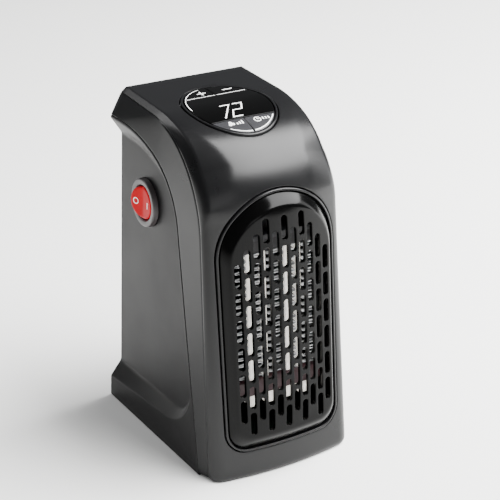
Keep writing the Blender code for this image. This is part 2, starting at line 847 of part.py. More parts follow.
def build_side_panel(name, side):
    outline = [(0.0, 0.0)] + [(0.0, SEAM_HEIGHT - GAP)]
    outline += [point for point in seam_outline(GAP, GAP) if point[0] > 0][:-1]
    last = seam_outline(GAP, GAP)[-1]
    outline.append((last[0], 0.0))

    def inside(depth, height):
        return floor_half_width(depth, height) - WALL

    panel = panel_prism(name, outline, inside, side_half_width, side, CHARCOAL)

    def outside(depth, height):
        return floor_half_width(depth, height) + RECESS_REAR_DEPTH + OVERRUN

    bm = bmesh.new()
    rings = []
    for rear, front, lift, surface in (
        (RECESS_RIM_REAR, RECESS_RIM_FRONT, RECESS_RAMP, floor_half_width),
        (0.0, 0.0, 0.0, side_half_width),
        (0.0, 0.0, 0.0, outside),
    ):
        mouth = recess_outline(RECESS_LAND + rear, RECESS_LAND + front, lift)
        rings.append([
            bm.verts.new(at(side * surface(max(depth, 0), height), depth, height))
            for depth, height in mouth
        ])
    count = len(rings[0])
    for first, second in zip(rings, rings[1:]):
        for j in range(count):
            k = (j + 1) % count
            bm.faces.new((first[j], first[k], second[k], second[j]))
    bm.faces.new(rings[0])
    bm.faces.new(rings[-1])
    bmesh.ops.triangulate(bm, faces=bm.faces)
    cutter_name = "cut_recess_" + name
    cut(panel, add_mesh(cutter_name, mesh_from(bm, cutter_name), None, CUTTERS))
    return round_off(panel)


# Closed pieces that follow the sections


def inset_line(points, distance):
    """A line of (x, level) points moved towards the middle line by a distance."""
    moved = []
    last = len(points) - 1
    for i, (x, level) in enumerate(points):
        before, after = points[max(i - 1, 0)], points[min(i + 1, last)]
        run = (after[0] - before[0], after[1] - before[1])
        length = math.hypot(*run)
        moved.append((x + run[1] / length * distance, level - run[0] / length * distance))
    return moved


def mirrored(half):
    """A closed outline from its right half, which starts on the middle line."""
    return half + [(-x, level) for x, level in reversed(half) if x > 0]


def circle(x, level, radius, steps=SMALL_ROUND_STEPS):
    angles = [2 * math.pi * i / steps for i in range(steps)]
    return [(x + radius * math.cos(a), level + radius * math.sin(a)) for a in angles]


def rectangle(x, level, width, height):
    return [
        (x - width / 2, level - height / 2), (x + width / 2, level - height / 2),
        (x + width / 2, level + height / 2), (x - width / 2, level + height / 2),
    ]


LEG_PLACES = [(x, z) for z in (LEG_LOW, LEG_HIGH) for x in (-LEG_OFFSET, LEG_OFFSET)]
POST_ANGLES = [math.pi / 2 + 2 * math.pi * i / POST_COUNT for i in range(POST_COUNT)]
POST_PLACES = [
    (RETAINER_POST_RING * math.cos(a), PLUG_HEIGHT + RETAINER_POST_RING * math.sin(a))
    for a in POST_ANGLES
]
FLANGE_DEPTH = REAR_WALL + GAP
RETAINER_DEPTH = FLANGE_DEPTH + TURNTABLE_FLANGE_THICKNESS + GAP
LEG_END = REAR_WALL + GAP


def inner_half_width(height):
    return floor_half_width(0, height) - WALL - GAP


def build_rear_cover():
    top = [(point.x, point.z) for point in half_section(0)][:-1]
    half = inset_line(top, WALL + 2 * GAP)
    half[0] = (0.0, half[0][1])
    ledge = SEAM_HEIGHT + GAP
    half.append((side_half_width(0, SEAM_HEIGHT) - WALL - 2 * GAP, ledge))
    half += [(inner_half_width(ledge), ledge - GAP), (inner_half_width(0), 0.0)]
    loops = [mirrored(half), circle(0, PLUG_HEIGHT, TURNTABLE_RADIUS + GAP, ROUND_STEPS)]
    loops += [circle(x, z, SCREW_RADIUS + GAP) for x, z in LEG_PLACES]
    pitch = INTAKE_SLOT + INTAKE_RIB
    for row in range(int((INTAKE_TOP - INTAKE_BOTTOM) / pitch)):
        level = INTAKE_BOTTOM + (row + 1 / 2) * pitch
        loops.append(rectangle(0, level, 2 * INTAKE_HALF_WIDTH, INTAKE_SLOT))
    cover = outline_solid("rear_cover", loops, 0, REAR_WALL, CHARCOAL)
    place(cover, at(0, 0, 0), ALONG_FRONT)
    posts = outline_solid(
        "join_posts", [circle(x, z, RETAINER_POST_RADIUS) for x, z in POST_PLACES],
        REAR_WALL / 2, RETAINER_DEPTH - GAP, group=CUTTERS,
    )
    join(cover, place(posts, at(0, 0, 0), ALONG_FRONT))
    bores = outline_solid(
        "cut_post_bores", [circle(x, z, SMALL_SCREW_RADIUS + GAP) for x, z in POST_PLACES],
        RETAINER_DEPTH - SMALL_SCREW_LENGTH, RETAINER_DEPTH + OVERRUN, group=CUTTERS,
    )
    cut(cover, place(bores, at(0, 0, 0), ALONG_FRONT))
    sinks = outline_solid(
        "cut_screw_sinks", [circle(x, z, SCREW_HEAD_RADIUS + GAP) for x, z in LEG_PLACES],
        -OVERRUN, SCREW_HEAD_THICKNESS + GAP, group=CUTTERS,
    )
    return cut(cover, place(sinks, at(0, 0, 0), ALONG_FRONT))


def build_base_plate():
    section = [(point.x, point.y) for point in half_section(len(MIDDLE) - 1)]
    front = [
        (x, -depth)
        for x, depth in inset_line(section[:CROWN_SEGMENTS + SHOULDER_SEGMENTS], WALL + 2 * GAP)
    ]
    front[0] = (0.0, front[0][1])
    seam_depth = SEAM[-1][0]
    for depth in (seam_depth, REAR_WALL + GAP):
        front.append((floor_half_width(depth, BASE_WALL) - WALL - GAP, -depth))
    plate = outline_solid("base_plate", mirrored(front), 0, BASE_WALL, CHARCOAL)
    place(plate, at(0, 0, 0))
    pegs = outline_solid(
        "join_pegs", [circle(x, -depth, PEG_RADIUS) for x, depth in peg_places()],
        BASE_WALL / 2, POWER_BOARD_HEIGHT - GAP, group=CUTTERS,
    )
    return join(plate, place(pegs, at(0, 0, 0)))


def peg_places():
    side = POWER_BOARD_HALF_WIDTH - PEG_INSET
    ends = (POWER_BOARD_REAR + PEG_INSET, POWER_BOARD_FRONT - PEG_INSET)
    return [(x, depth) for depth in ends for x in (-side, side)]


# Plug


def blade_box(name, x, width, clearance, look=None, group=PARTS):
    half = BLADE_THICKNESS / 2 + clearance
    rise = width / 2 + clearance
    level = PLUG_HEIGHT + BLADE_RISE
    low = (x - half, BACK_Y - TURNTABLE_LENGTH - BLADE_TAIL - clearance, level - rise)
    high = (x + half, BLADE_REACH + clearance, level + rise)
    return box(name, low, high, look, group)


def build_plug():
    setback = -BACK_SETBACK
    flange_end = FLANGE_DEPTH + TURNTABLE_FLANGE_THICKNESS
    profile = [
        (0, TURNTABLE_LENGTH), (TURNTABLE_BOSS_RADIUS, TURNTABLE_LENGTH),
        (TURNTABLE_BOSS_RADIUS, flange_end), (TURNTABLE_FLANGE_RADIUS, flange_end),
        (TURNTABLE_FLANGE_RADIUS, FLANGE_DEPTH), (TURNTABLE_RADIUS, FLANGE_DEPTH),
        (TURNTABLE_RADIUS, setback + GAP), (TURNTABLE_RADIUS - GAP, setback), (0, setback),
    ]
    table = turned("plug_turntable", profile, BLACK_MATT)
    place(table, at(0, 0, PLUG_HEIGHT), ALONG_FRONT)
    half = BLADE_SPACING / 2
    blades = (("line_blade", half, LINE_BLADE_WIDTH), ("neutral_blade", -half, NEUTRAL_BLADE_WIDTH))
    for name, x, width in blades:
        cut(table, blade_box("cut_" + name, x, width, GAP, None, CUTTERS))
        blade_box(name, x, width, 0, BRASS)
    level = PLUG_HEIGHT + BLADE_RISE - PIN_DROP
    tail = TURNTABLE_LENGTH + BLADE_TAIL
    tip = -BACK_SETBACK - PIN_REACH
    bore = cylinder("cut_pin", PIN_RADIUS + GAP, tip, tail + GAP, None, CUTTERS)
    cut(table, place(bore, at(0, 0, level), ALONG_FRONT))
    wide, narrow = [PIN_RADIUS * share for share in PIN_NOSE_SHARES]
    profile = [
        (0, tail), (PIN_RADIUS, tail), (PIN_RADIUS, tip + PIN_RADIUS), (wide, tip + narrow),
        (narrow, tip), (0, tip),
    ]
    pin = turned("ground_pin", profile, BRASS, steps=SMALL_ROUND_STEPS)
    round_off(place(pin, at(0, 0, level), ALONG_FRONT))
    loops = [
        circle(0, PLUG_HEIGHT, RETAINER_RADIUS, ROUND_STEPS),
        circle(0, PLUG_HEIGHT, TURNTABLE_BOSS_RADIUS + 2 * GAP, ROUND_STEPS),
    ]
    loops += [circle(x, z, SMALL_SCREW_RADIUS + GAP) for x, z in POST_PLACES]
    retainer = outline_solid(
        "turntable_retainer", loops, RETAINER_DEPTH, RETAINER_DEPTH + RETAINER_THICKNESS, STEEL
    )
    place(retainer, at(0, 0, 0), ALONG_FRONT)


def screw(name, radius, head_radius, head_thickness, length, location, rotation):
    """A pan-head screw with its head's underside at its own origin, pointing along local +Z."""
    profile = [
        (0, length), (radius / 2, length), (radius, length - radius), (radius, 0),
        (head_radius, 0), (head_radius, -head_thickness / 2),
        (head_radius * SCREW_CROWN_SHARE, -head_thickness), (0, -head_thickness),
    ]
    made = turned(name, profile, STEEL, steps=SMALL_ROUND_STEPS)
    return round_off(place(made, location, rotation))


def build_screws():
    for number, (x, z) in enumerate(LEG_PLACES):
        screw(
            "rear_cover_screw_" + str(number + 1), SCREW_RADIUS, SCREW_HEAD_RADIUS,
            SCREW_HEAD_THICKNESS - GAP, SCREW_LENGTH, at(x, SCREW_HEAD_THICKNESS, z), ALONG_FRONT,
        )
    depth = RETAINER_DEPTH + RETAINER_THICKNESS + GAP
    for number, (x, z) in enumerate(POST_PLACES):
        screw(
            "retainer_screw_" + str(number + 1), SMALL_SCREW_RADIUS, SMALL_SCREW_HEAD_RADIUS,
            SMALL_SCREW_RADIUS, SMALL_SCREW_LENGTH, at(x, depth, z), ALONG_BACK,
        )


# Control panel


def clip(points, axis, limit, keep_above):
    """The part of a convex outline on one side of a line across an axis."""
    sign = 1 if keep_above else -1
    kept = []
    for i, point in enumerate(points):
        before = points[i - 1]
        inside = (point[axis] - limit) * sign >= 0
        was_inside = (before[axis] - limit) * sign >= 0
        if inside != was_inside:
            share = (limit - before[axis]) / (point[axis] - before[axis])
            kept.append(tuple(mix(a, b, share) for a, b in zip(before, point)))
        if inside:
            kept.append(point)
    return kept


def panel_slice(rear, front, left=None, right=None):
    """The part of the panel inside its ring between two depths and two sides."""
    points = panel_outline(PANEL_RING_WIDTH + 2 * GAP)
    if rear is not None:
        points = clip(points, 1, -rear, False)
    if front is not None:
        points = clip(points, 1, -front, True)
    if left is not None:
        points = clip(points, 0, left, True)
    if right is not None:
        points = clip(points, 0, right, False)
    return points


def top_piece(name, outline, look):
    """A thin piece that follows the top of the housing."""
    piece = outline_solid(name, outline, 0, KEY_THICKNESS, look)
    for vert in piece.data.vertices:
        lift = KEY_PROUD if vert.co.z > KEY_THICKNESS / 2 else -KEY_THICKNESS
        vert.co.z = top_height(vert.co.x, -vert.co.y) + lift
    return place(piece, at(0, 0, 0))


def tact_switch(name, x, depth):
    base = CONTROL_BOARD_HEIGHT + BOARD_THICKNESS + GAP
    low = top_height(abs(x) + TACT_STEM_RADIUS, depth + TACT_STEM_RADIUS)
    tip = low - KEY_THICKNESS - KEY_TRAVEL - KEY_CLEARANCE
    half = TACT_SIZE / 2
    middle = BACK_Y - depth
    body = box(
        name, (x - half, middle - half, base), (x + half, middle + half, base + TACT_HEIGHT), BLACK_MATT
    )
    stem = cylinder(
        "join_" + name, TACT_STEM_RADIUS, base + TACT_HEIGHT / 2, tip, None, CUTTERS, SMALL_ROUND_STEPS
    )
    return join(body, place(stem, at(x, depth, 0)))


def build_control_panel():
    board_top = CONTROL_BOARD_HEIGHT + BOARD_THICKNESS
    outer = panel_outline(GAP)
    inner = panel_outline(GAP + PANEL_RING_WIDTH)
    loops = []
    for outline in (outer, inner):
        loops.append([at(x, -y, top_height(x, -y) + PANEL_RING_PROUD) for x, y in outline])
    for outline in (inner, outer):
        loops.append([at(x, -y, board_top + GAP) for x, y in outline])
    lofted("display_ring", loops, CHARCOAL)
    half = GAP / 2
    rear, front = REAR_KEY_LINE, FRONT_KEY_LINE
    top_piece("display_lens", panel_slice(rear + half, front - half), BLACK_GLOSS)
    for name, side, behind in (
        ("plus_key", -1, True), ("minus_key", 1, True),
        ("speed_key", -1, False), ("timer_key", 1, False),
    ):
        lines = (None, rear - half) if behind else (front + half, None)
        sides = (None, -half) if side < 0 else (half, None)
        top_piece(name, panel_slice(*lines, *sides), KEY_GREY)
        reach = REAR_KEY_REACH if behind else FRONT_KEY_REACH
        ring = PANEL_MIDDLE - PANEL_HALF_DEPTH if behind else PANEL_MIDDLE + PANEL_HALF_DEPTH
        depth = mix(ring, rear if behind else front, TACT_LINE_SHARE)
        tact_switch("tact_switch_" + name.split("_")[0], side * reach, depth)
    board = outline_solid("control_board", outer, CONTROL_BOARD_HEIGHT, board_top, BOARD_GREEN)
    place(board, at(0, 0, 0))
    digit_top = top_height(0, front) - KEY_THICKNESS - DIGIT_CLEARANCE
    middle = BACK_Y - (rear + front) / 2
    box(
        "digit_display", (-DIGIT_WIDTH / 2, middle - DIGIT_DEPTH / 2, board_top + GAP),
        (DIGIT_WIDTH / 2, middle + DIGIT_DEPTH / 2, digit_top), BLACK_MATT,
    )


# Power switch


def switch_frame():
    """Local +Z points out of the left recess floor and local +Y up along it."""
    out = Vector((-1, -math.tan(FLOOR_TOE), math.tan(SIDE_LEAN))).normalized()
    up = (Vector((0, 0, 1)) - out * out.z).normalized()
    across = up.cross(out)
    turn = Matrix((across, up, out)).transposed().to_4x4()
    x = floor_half_width(SWITCH_DEPTH, SWITCH_HEIGHT)
    return Matrix.Translation(at(-x, SWITCH_DEPTH, SWITCH_HEIGHT)) @ turn


def in_switch(obj, local=Matrix.Identity(4)):
    obj.matrix_world = switch_frame() @ local
    return obj


def build_power_switch(panel):
    hole = cylinder("cut_switch_hole", SWITCH_BARREL_RADIUS + GAP, -OVERRUN, OVERRUN, None, CUTTERS)
    cut(panel, in_switch(hole))
    face = GAP + SWITCH_FLANGE_THICKNESS
    lip = SWITCH_FLANGE_THICKNESS / 4
    profile = [
        (SWITCH_CAVITY_RADIUS, face), (SWITCH_FLANGE_RADIUS - lip, face),
        (SWITCH_FLANGE_RADIUS, face - lip), (SWITCH_FLANGE_RADIUS, GAP), (SWITCH_BARREL_RADIUS, GAP),
        (SWITCH_BARREL_RADIUS, -SWITCH_BARREL_LENGTH), (0, -SWITCH_BARREL_LENGTH),
    ]
    floor = face - SWITCH_CAVITY_DEPTH
    profile = [(0, floor), (SWITCH_CAVITY_RADIUS, floor)] + profile
    housing = round_off(in_switch(turned("switch_housing", profile, BLACK_MATT)))
    pivot = face - ROCKER_PIVOT_DEPTH
    across = Matrix.Translation((0, 0, pivot)) @ Matrix.Rotation(math.radians(90), 4, "X")
    reach = ROCKER_PIN_REACH + GAP
    socket = cylinder(
        "cut_pin_socket", ROCKER_PIN_RADIUS + GAP, -reach, reach, None, CUTTERS, SMALL_ROUND_STEPS
    )
    cut(housing, in_switch(socket, across))
    build_rocker(pivot)
    low = -SWITCH_BARREL_LENGTH - TERMINAL_LENGTH
    for name, sign in (("switch_terminal_front", 1), ("switch_terminal_rear", -1)):
        tab = outline_solid(
            name, rectangle(sign * TERMINAL_SPACING / 2, 0, TERMINAL_THICKNESS, TERMINAL_WIDTH),
            low, -SWITCH_BARREL_LENGTH - GAP, BRASS,
        )
        in_switch(tab)


def build_rocker(pivot):
    """The rocker is at rest with its front end, marked for on, pressed in."""
    bm = bmesh.new()
    bmesh.ops.create_uvsphere(
        bm, u_segments=ROCKER_SEGMENTS, v_segments=ROCKER_RINGS, radius=ROCKER_RADIUS
    )
    rocker = add_mesh("power_rocker", mesh_from(bm, "power_rocker"), RED)
    rocker.data.shade_smooth()
    wide = ROCKER_RADIUS + OVERRUN
    rise = wide * math.tan(ROCKER_TILT)
    dip = ROCKER_CROWN - ROCKER_RADIUS * math.tan(ROCKER_TILT)
    outline = [
        (-wide, -ROCKER_SKIRT), (wide, -ROCKER_SKIRT), (wide, dip + rise), (0, dip), (-wide, dip + rise)
    ]
    wedge = outline_solid("common_rocker_wedge", outline, -wide, wide, group=CUTTERS)
    rest = Matrix.Translation((0, 0, pivot)) @ Matrix.Rotation(ROCKER_TILT, 4, "Y")
    side_on = Matrix.Rotation(math.radians(90), 4, "X")
    in_switch(rocker, rest)
    modify(rocker, "common", in_switch(wedge, rest @ side_on), "INTERSECT")
    pins = cylinder(
        "join_rocker_pins", ROCKER_PIN_RADIUS, -ROCKER_PIN_REACH, ROCKER_PIN_REACH, None, CUTTERS,
        SMALL_ROUND_STEPS,
    )
    join(rocker, in_switch(pins, rest @ side_on))


# Heating element


def element_box(name, x, width, low, high, look=None, group=PARTS, lip=0.0):
    front = BACK_Y - ELEMENT_FRONT - lip
    rear = BACK_Y - ELEMENT_FRONT + ELEMENT_DEPTH + lip
    return box(name, (x - width / 2, front, low), (x + width / 2, rear, high), look, group)


def fin_pack(name, x, width):
    """A corrugated strip that fills one gap between the ceramic bars."""
    half = width / 2
    folds = int((ELEMENT_TOP - ELEMENT_BOTTOM) / FIN_PITCH * 2)
    step = (ELEMENT_TOP - ELEMENT_BOTTOM - FIN_THICKNESS) / folds
    inside = half - FIN_THICKNESS * width / step / 2
    right = [(x - half, ELEMENT_BOTTOM)]
    left = [(x - half, ELEMENT_BOTTOM + FIN_THICKNESS)]
    for i in range(1, folds):
        level = ELEMENT_BOTTOM + step * i
        side = 1 if i % 2 else -1
        outer, inner = (right, left) if side > 0 else (left, right)
        outer += [(x + side * half, level), (x + side * half, level + FIN_THICKNESS)]
        inner.append((x + side * inside, level + FIN_THICKNESS / 2))
    side = 1 if folds % 2 else -1
    ends = [(x + side * half, ELEMENT_TOP - FIN_THICKNESS), (x + side * half, ELEMENT_TOP)]
    right.append(ends[0] if side > 0 else ends[1])
    left.append(ends[1] if side > 0 else ends[0])
    strip = outline_solid(
        name, right + left[::-1], -ELEMENT_DEPTH / 2, ELEMENT_DEPTH / 2, ALUMINIUM
    )
    return place(strip, at(0, ELEMENT_FRONT - ELEMENT_DEPTH / 2, 0), ALONG_FRONT)


def holder_heights():
    """The bottom and top holders' undersides and tops."""
    low_top = ELEMENT_BOTTOM + HOLDER_BITE
    high_bottom = ELEMENT_TOP - HOLDER_BITE
    return (low_top - HOLDER_HEIGHT, low_top), (high_bottom, high_bottom + HOLDER_HEIGHT)


def build_element():
    pitch = 2 * COLUMN_PITCH
    for number in range(BAR_COUNT):
        x = (number - (BAR_COUNT - 1) / 2) * pitch
        element_box("ceramic_bar_" + str(number + 1), x, BAR_WIDTH, ELEMENT_BOTTOM, ELEMENT_TOP, WHITE)
    width = pitch - BAR_WIDTH - 2 * GAP
    for number in range(BAR_COUNT + 1):
        fin_pack("fin_pack_" + str(number + 1), (number - BAR_COUNT / 2) * pitch, width)
    span = BAR_COUNT * pitch + width + 2 * GAP
    bottom, top = holder_heights()
    for name, (low, high), sign in (("holder_bottom", bottom, 1), ("holder_top", top, -1)):
        holder = element_box(
            name, 0, 2 * HOLDER_HALF_WIDTH, low, high, WHITE, lip=HOLDER_LIP + GAP
        )
        edge = high if sign > 0 else low
        ends = sorted((edge - sign * (HOLDER_BITE + GAP), edge + sign * OVERRUN))
        cut(holder, element_box("cut_" + name, 0, span, *ends, None, CUTTERS, GAP))
    shelf_top = top[1] + GAP + DUCT_WALL
    cutout = cylinder(
        "thermal_cutout", CUTOUT_RADIUS, shelf_top + GAP, shelf_top + GAP + CUTOUT_HEIGHT, BLACK_MATT,
        steps=SMALL_ROUND_STEPS,
    )
    round_off(place(cutout, at(0, ELEMENT_FRONT - ELEMENT_DEPTH / 2, 0)))


# Fan


def tube(name, outer, inner, low, high, group=CUTTERS):
    profile = [(inner, high), (outer, high), (outer, low), (inner, low), (inner, high)]
    return turned(name, profile, None, group)


def build_duct():
    bottom, top = holder_heights()
    low, high = bottom[0] - GAP - DUCT_WALL, top[1] + GAP + DUCT_WALL
    back = DUCT_FRONT - DUCT_WALL
    inner = FAN_RADIUS + FAN_TIP_CLEARANCE
    loops = [
        rectangle(0, (low + high) / 2, 2 * DUCT_HALF_WIDTH, high - low),
        circle(0, FAN_HEIGHT, inner + GAP, ROUND_STEPS),
    ]
    duct = outline_solid("fan_duct", loops, back, DUCT_FRONT, DUCT_PLASTIC)
    place(duct, at(0, 0, 0), ALONG_FRONT)
    shelf = DUCT_SHELF_HALF_WIDTH
    for name, level in (("join_shelf_low", low), ("join_shelf_high", high - DUCT_WALL)):
        join(duct, box(
            name, (-shelf, BACK_Y - ELEMENT_FRONT, level),
            (shelf, BACK_Y - back - DUCT_WALL / 2, level + DUCT_WALL), None, CUTTERS,
        ))
    collar_end = back - DUCT_COLLAR
    collar = tube("join_collar", inner + DUCT_WALL, inner, collar_end, back + DUCT_WALL / 2)
    join(duct, place(collar, at(0, 0, FAN_HEIGHT), ALONG_FRONT))
    legs = outline_solid(
        "join_legs", [rectangle(x, z, LEG_SIZE, LEG_SIZE) for x, z in LEG_PLACES],
        LEG_END, back + DUCT_WALL / 3, group=CUTTERS,
    )
    join(duct, place(legs, at(0, 0, 0), ALONG_FRONT))
    motor_face = FAN_HUB_FRONT - FAN_HUB_LENGTH - MOTOR_CLEARANCE
    hold = MOTOR_RADIUS + GAP
    reach = inner + DUCT_WALL / 2
    for number, angle in enumerate(POST_ANGLES):
        spoke = outline_solid(
            "join_spoke_" + str(number + 1),
            rectangle((hold + GAP + reach) / 2, 0, reach - hold - GAP, SPOKE_WIDTH),
            collar_end + GAP, motor_face - GAP, group=CUTTERS,
        )
        turn = Matrix.Translation(at(0, 0, FAN_HEIGHT)) @ Matrix.Rotation(math.radians(90), 4, "X")
        spoke.matrix_world = turn @ Matrix.Rotation(angle, 4, "Z")
        join(duct, spoke)
    ring = tube(
        "join_motor_ring", hold + MOTOR_RING_WALL, hold, motor_face - MOTOR_RING_LENGTH, motor_face
    )
    join(duct, place(ring, at(0, 0, FAN_HEIGHT), ALONG_FRONT))
    bores = outline_solid(
        "cut_leg_bores", [circle(x, z, SCREW_RADIUS + GAP) for x, z in LEG_PLACES],
        -OVERRUN, SCREW_HEAD_THICKNESS + SCREW_LENGTH + GAP, group=CUTTERS,
    )
    cut(duct, place(bores, at(0, 0, 0), ALONG_FRONT))
    return motor_face


def build_fan(motor_face):
    bore = SHAFT_RADIUS + GAP
    profile = [
        (bore, motor_face), (MOTOR_RADIUS, motor_face), (MOTOR_RADIUS, motor_face - MOTOR_LENGTH),
        (0, motor_face - MOTOR_LENGTH),
    ]
    pocket = motor_face - SHAFT_BITE - GAP
    motor = turned("fan_motor", [(0, pocket), (bore, pocket)] + profile, STEEL)
    round_off(place(motor, at(0, 0, FAN_HEIGHT), ALONG_FRONT))
    shaft_end = FAN_HUB_FRONT - MOTOR_CLEARANCE
    shaft = cylinder(
        "motor_shaft", SHAFT_RADIUS, motor_face - SHAFT_BITE, shaft_end, STEEL, steps=SMALL_ROUND_STEPS
    )
    round_off(place(shaft, at(0, 0, FAN_HEIGHT), ALONG_FRONT))
    hub_rear = FAN_HUB_FRONT - FAN_HUB_LENGTH
    profile = [
        (0, FAN_HUB_FRONT), (FAN_HUB_RADIUS, FAN_HUB_FRONT), (FAN_HUB_RADIUS, hub_rear),
        (bore, hub_rear), (bore, shaft_end + GAP), (0, shaft_end + GAP),
    ]
    fan = turned("fan_impeller", profile, FAN_WHITE, steps=FAN_BLADES * 4)
    round_off(place(fan, at(0, 0, FAN_HEIGHT), ALONG_FRONT))
    bm = bmesh.new()
    sweep = BLADE_CHORD * math.cos(BLADE_PITCH) / 2
    tip = math.sqrt(FAN_RADIUS ** 2 - sweep ** 2)
    root = FAN_HUB_RADIUS - MOTOR_CLEARANCE
    middle = (FAN_HUB_FRONT + hub_rear) / 2
    for number in range(FAN_BLADES):
        verts = bmesh.ops.create_cube(bm, size=1.0)["verts"]
        for vert in verts:
            chord = BLADE_CHORD * (1 if vert.co.x > 0 else BLADE_ROOT_SHARE)
            vert.co = Vector((
                tip if vert.co.x > 0 else root, vert.co.y * chord, vert.co.z * BLADE_SHEET
            ))
        turn = Matrix.Rotation(2 * math.pi * number / FAN_BLADES, 4, "Z")
        lift = Matrix.Translation((0, 0, middle))
        bmesh.ops.transform(bm, matrix=lift @ turn @ Matrix.Rotation(BLADE_PITCH, 4, "X"), verts=verts)
    blades = add_mesh("join_fan_blades", mesh_from(bm, "join_fan_blades"), None, CUTTERS)
    join(fan, place(blades, at(0, 0, FAN_HEIGHT), ALONG_FRONT))


# Power board and leads


def lead(name, points, look):
    curve = bpy.data.curves.new(name, "CURVE")
    curve.dimensions = "3D"
    curve.bevel_depth = LEAD_RADIUS
    curve.bevel_resolution = 1
    curve.use_fill_caps = True
    spline = curve.splines.new("POLY")
    places = []
    for i in range(len(points) - 1):
        before, after = points[max(i - 1, 0)], points[min(i + 2, len(points) - 1)]
        start, end = points[i], points[i + 1]
        for j in range(LEAD_STEPS):
            t = j / LEAD_STEPS
            pull = (end - before) / 2
            push = (after - start) / 2
            places.append(
                start * (2 * t ** 3 - 3 * t ** 2 + 1) + pull * (t ** 3 - 2 * t ** 2 + t)
                + end * (3 * t ** 2 - 2 * t ** 3) + push * (t ** 3 - t ** 2)
            )
    places.append(points[-1])
    spline.points.add(len(places) - 1)
    for point, co in zip(spline.points, places):
        point.co = (*co, 1)
    obj = bpy.data.objects.new(name, curve)
    PARTS.objects.link(obj)
    curve.materials.append(look)
    return obj


def build_power_board():
    side = POWER_BOARD_HALF_WIDTH
    top = POWER_BOARD_HEIGHT + BOARD_THICKNESS
    box(
        "power_board", (-side, BACK_Y - POWER_BOARD_FRONT, POWER_BOARD_HEIGHT),
        (side, BACK_Y - POWER_BOARD_REAR, top), BOARD_GREEN,
    )
    seat = top + GAP
    (x, depth), (width, length, height) = RELAY_PLACE, RELAY_SIZE
    box(
        "power_relay", (x - width / 2, BACK_Y - depth - length / 2, seat),
        (x + width / 2, BACK_Y - depth + length / 2, seat + height), RELAY_BLUE,
    )
    for name, radius, height, (x, depth), look in (
        ("capacitor", CAPACITOR_RADIUS, CAPACITOR_HEIGHT, CAPACITOR_PLACE, BLACK_MATT),
        ("temperature_sensor", SENSOR_RADIUS, SENSOR_HEIGHT, SENSOR_PLACE, BLACK_MATT),
    ):
        can = cylinder(name, radius, seat, seat + height, look, steps=SMALL_ROUND_STEPS)
        round_off(place(can, at(x, depth, 0)))
    bottom, _ = holder_heights()
    middle = ELEMENT_FRONT - ELEMENT_DEPTH / 2
    x = (DUCT_SHELF_HALF_WIDTH + HOLDER_HALF_WIDTH) / 2 + GAP / 2
    for name, sign in (("element_lead_left", -1), ("element_lead_right", 1)):
        foot = POWER_BOARD_FRONT - PEG_INSET
        lead(name, [
            at(sign * x, middle, bottom[0] - GAP),
            at(sign * x, middle, mix(bottom[0], seat, LEAD_DROP_SHARE)),
            at(sign * x, foot, mix(seat, bottom[0], LEAD_DROP_SHARE)),
            at(sign * x, foot, seat),
        ], LEAD_RED)
    motor_bottom = FAN_HEIGHT - MOTOR_RADIUS
    for name, sign in (("motor_lead_left", -1), ("motor_lead_right", 1)):
        x = sign * MOTOR_LEAD_OFFSET
        lead(name, [
            at(x, MOTOR_LEAD_DEPTH, motor_bottom - GAP),
            at(x, MOTOR_LEAD_DEPTH, mix(motor_bottom, seat, LEAD_DROP_SHARE)),
            at(2 * x, MOTOR_LEAD_DEPTH, mix(seat, motor_bottom, LEAD_DROP_SHARE)),
            at(2 * x, MOTOR_LEAD_DEPTH, seat),
        ], LEAD_RED)


def main():
    build_front_shell()
    build_side_panel("side_panel_right", 1)
    build_power_switch(build_side_panel("side_panel_left", -1))
    build_rear_cover()
    build_base_plate()
    build_outlet_ring()
    build_outlet_grille()
    build_plug()
    build_screws()
    build_control_panel()
    build_element()
    build_fan(build_duct())
    build_power_board()
    bpy.context.view_layer.update()


main()
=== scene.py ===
import math

import bmesh
import bpy
from mathutils import Matrix, Vector


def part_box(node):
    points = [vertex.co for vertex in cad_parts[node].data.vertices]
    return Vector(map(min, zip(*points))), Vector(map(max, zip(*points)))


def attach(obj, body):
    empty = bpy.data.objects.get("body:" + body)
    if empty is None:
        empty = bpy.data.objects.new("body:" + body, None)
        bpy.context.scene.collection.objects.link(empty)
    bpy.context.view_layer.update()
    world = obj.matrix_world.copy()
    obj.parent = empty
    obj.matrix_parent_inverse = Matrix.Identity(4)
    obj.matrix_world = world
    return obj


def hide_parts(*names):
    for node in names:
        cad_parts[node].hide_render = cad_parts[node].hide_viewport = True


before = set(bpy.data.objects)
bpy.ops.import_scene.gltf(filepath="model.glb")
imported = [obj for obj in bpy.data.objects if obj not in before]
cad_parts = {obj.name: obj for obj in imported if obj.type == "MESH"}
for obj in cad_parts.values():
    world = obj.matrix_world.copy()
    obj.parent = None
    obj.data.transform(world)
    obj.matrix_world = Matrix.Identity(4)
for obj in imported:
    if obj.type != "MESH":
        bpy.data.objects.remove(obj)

bl_info = {
    "name": "Plug-in fan heater",
    "version": (1, 0, 0),
    "blender": (4, 5, 0),
    "location": "View3D > Sidebar > Heater",
    "description": "Finishes a small plug-in fan heater: mouldings, grille, keys, element and plug",
    "category": "Add Mesh",
}

# Points nearer to each other than this are one.
MERGE = 0.000002
# Middles of the element's ceramic feet, and left and right ends of its ceramic bars.
FEET = (-0.0126, -0.0044, 0.0062, 0.0133)
BARS = ((-0.0141, -0.0111), (-0.0070, -0.0046), (0.0048, 0.0073), (0.0108, 0.0130))
# Where the crown's side faces start: stages along the shell and shares of the crown's half width.
FACET_LINE = (
    (0.8, 0.97), (1.67, 0.87), (1.93, 0.8), (2.1, 0.73), (2.24, 0.67), (2.43, 0.6), (2.56, 0.63),
)
SIDES = (-1, 1)
# How far the valley between the rocker's slopes is eased, in metres.
VALLEY_SOFTNESS = math.sqrt(0.0000004)


# Values


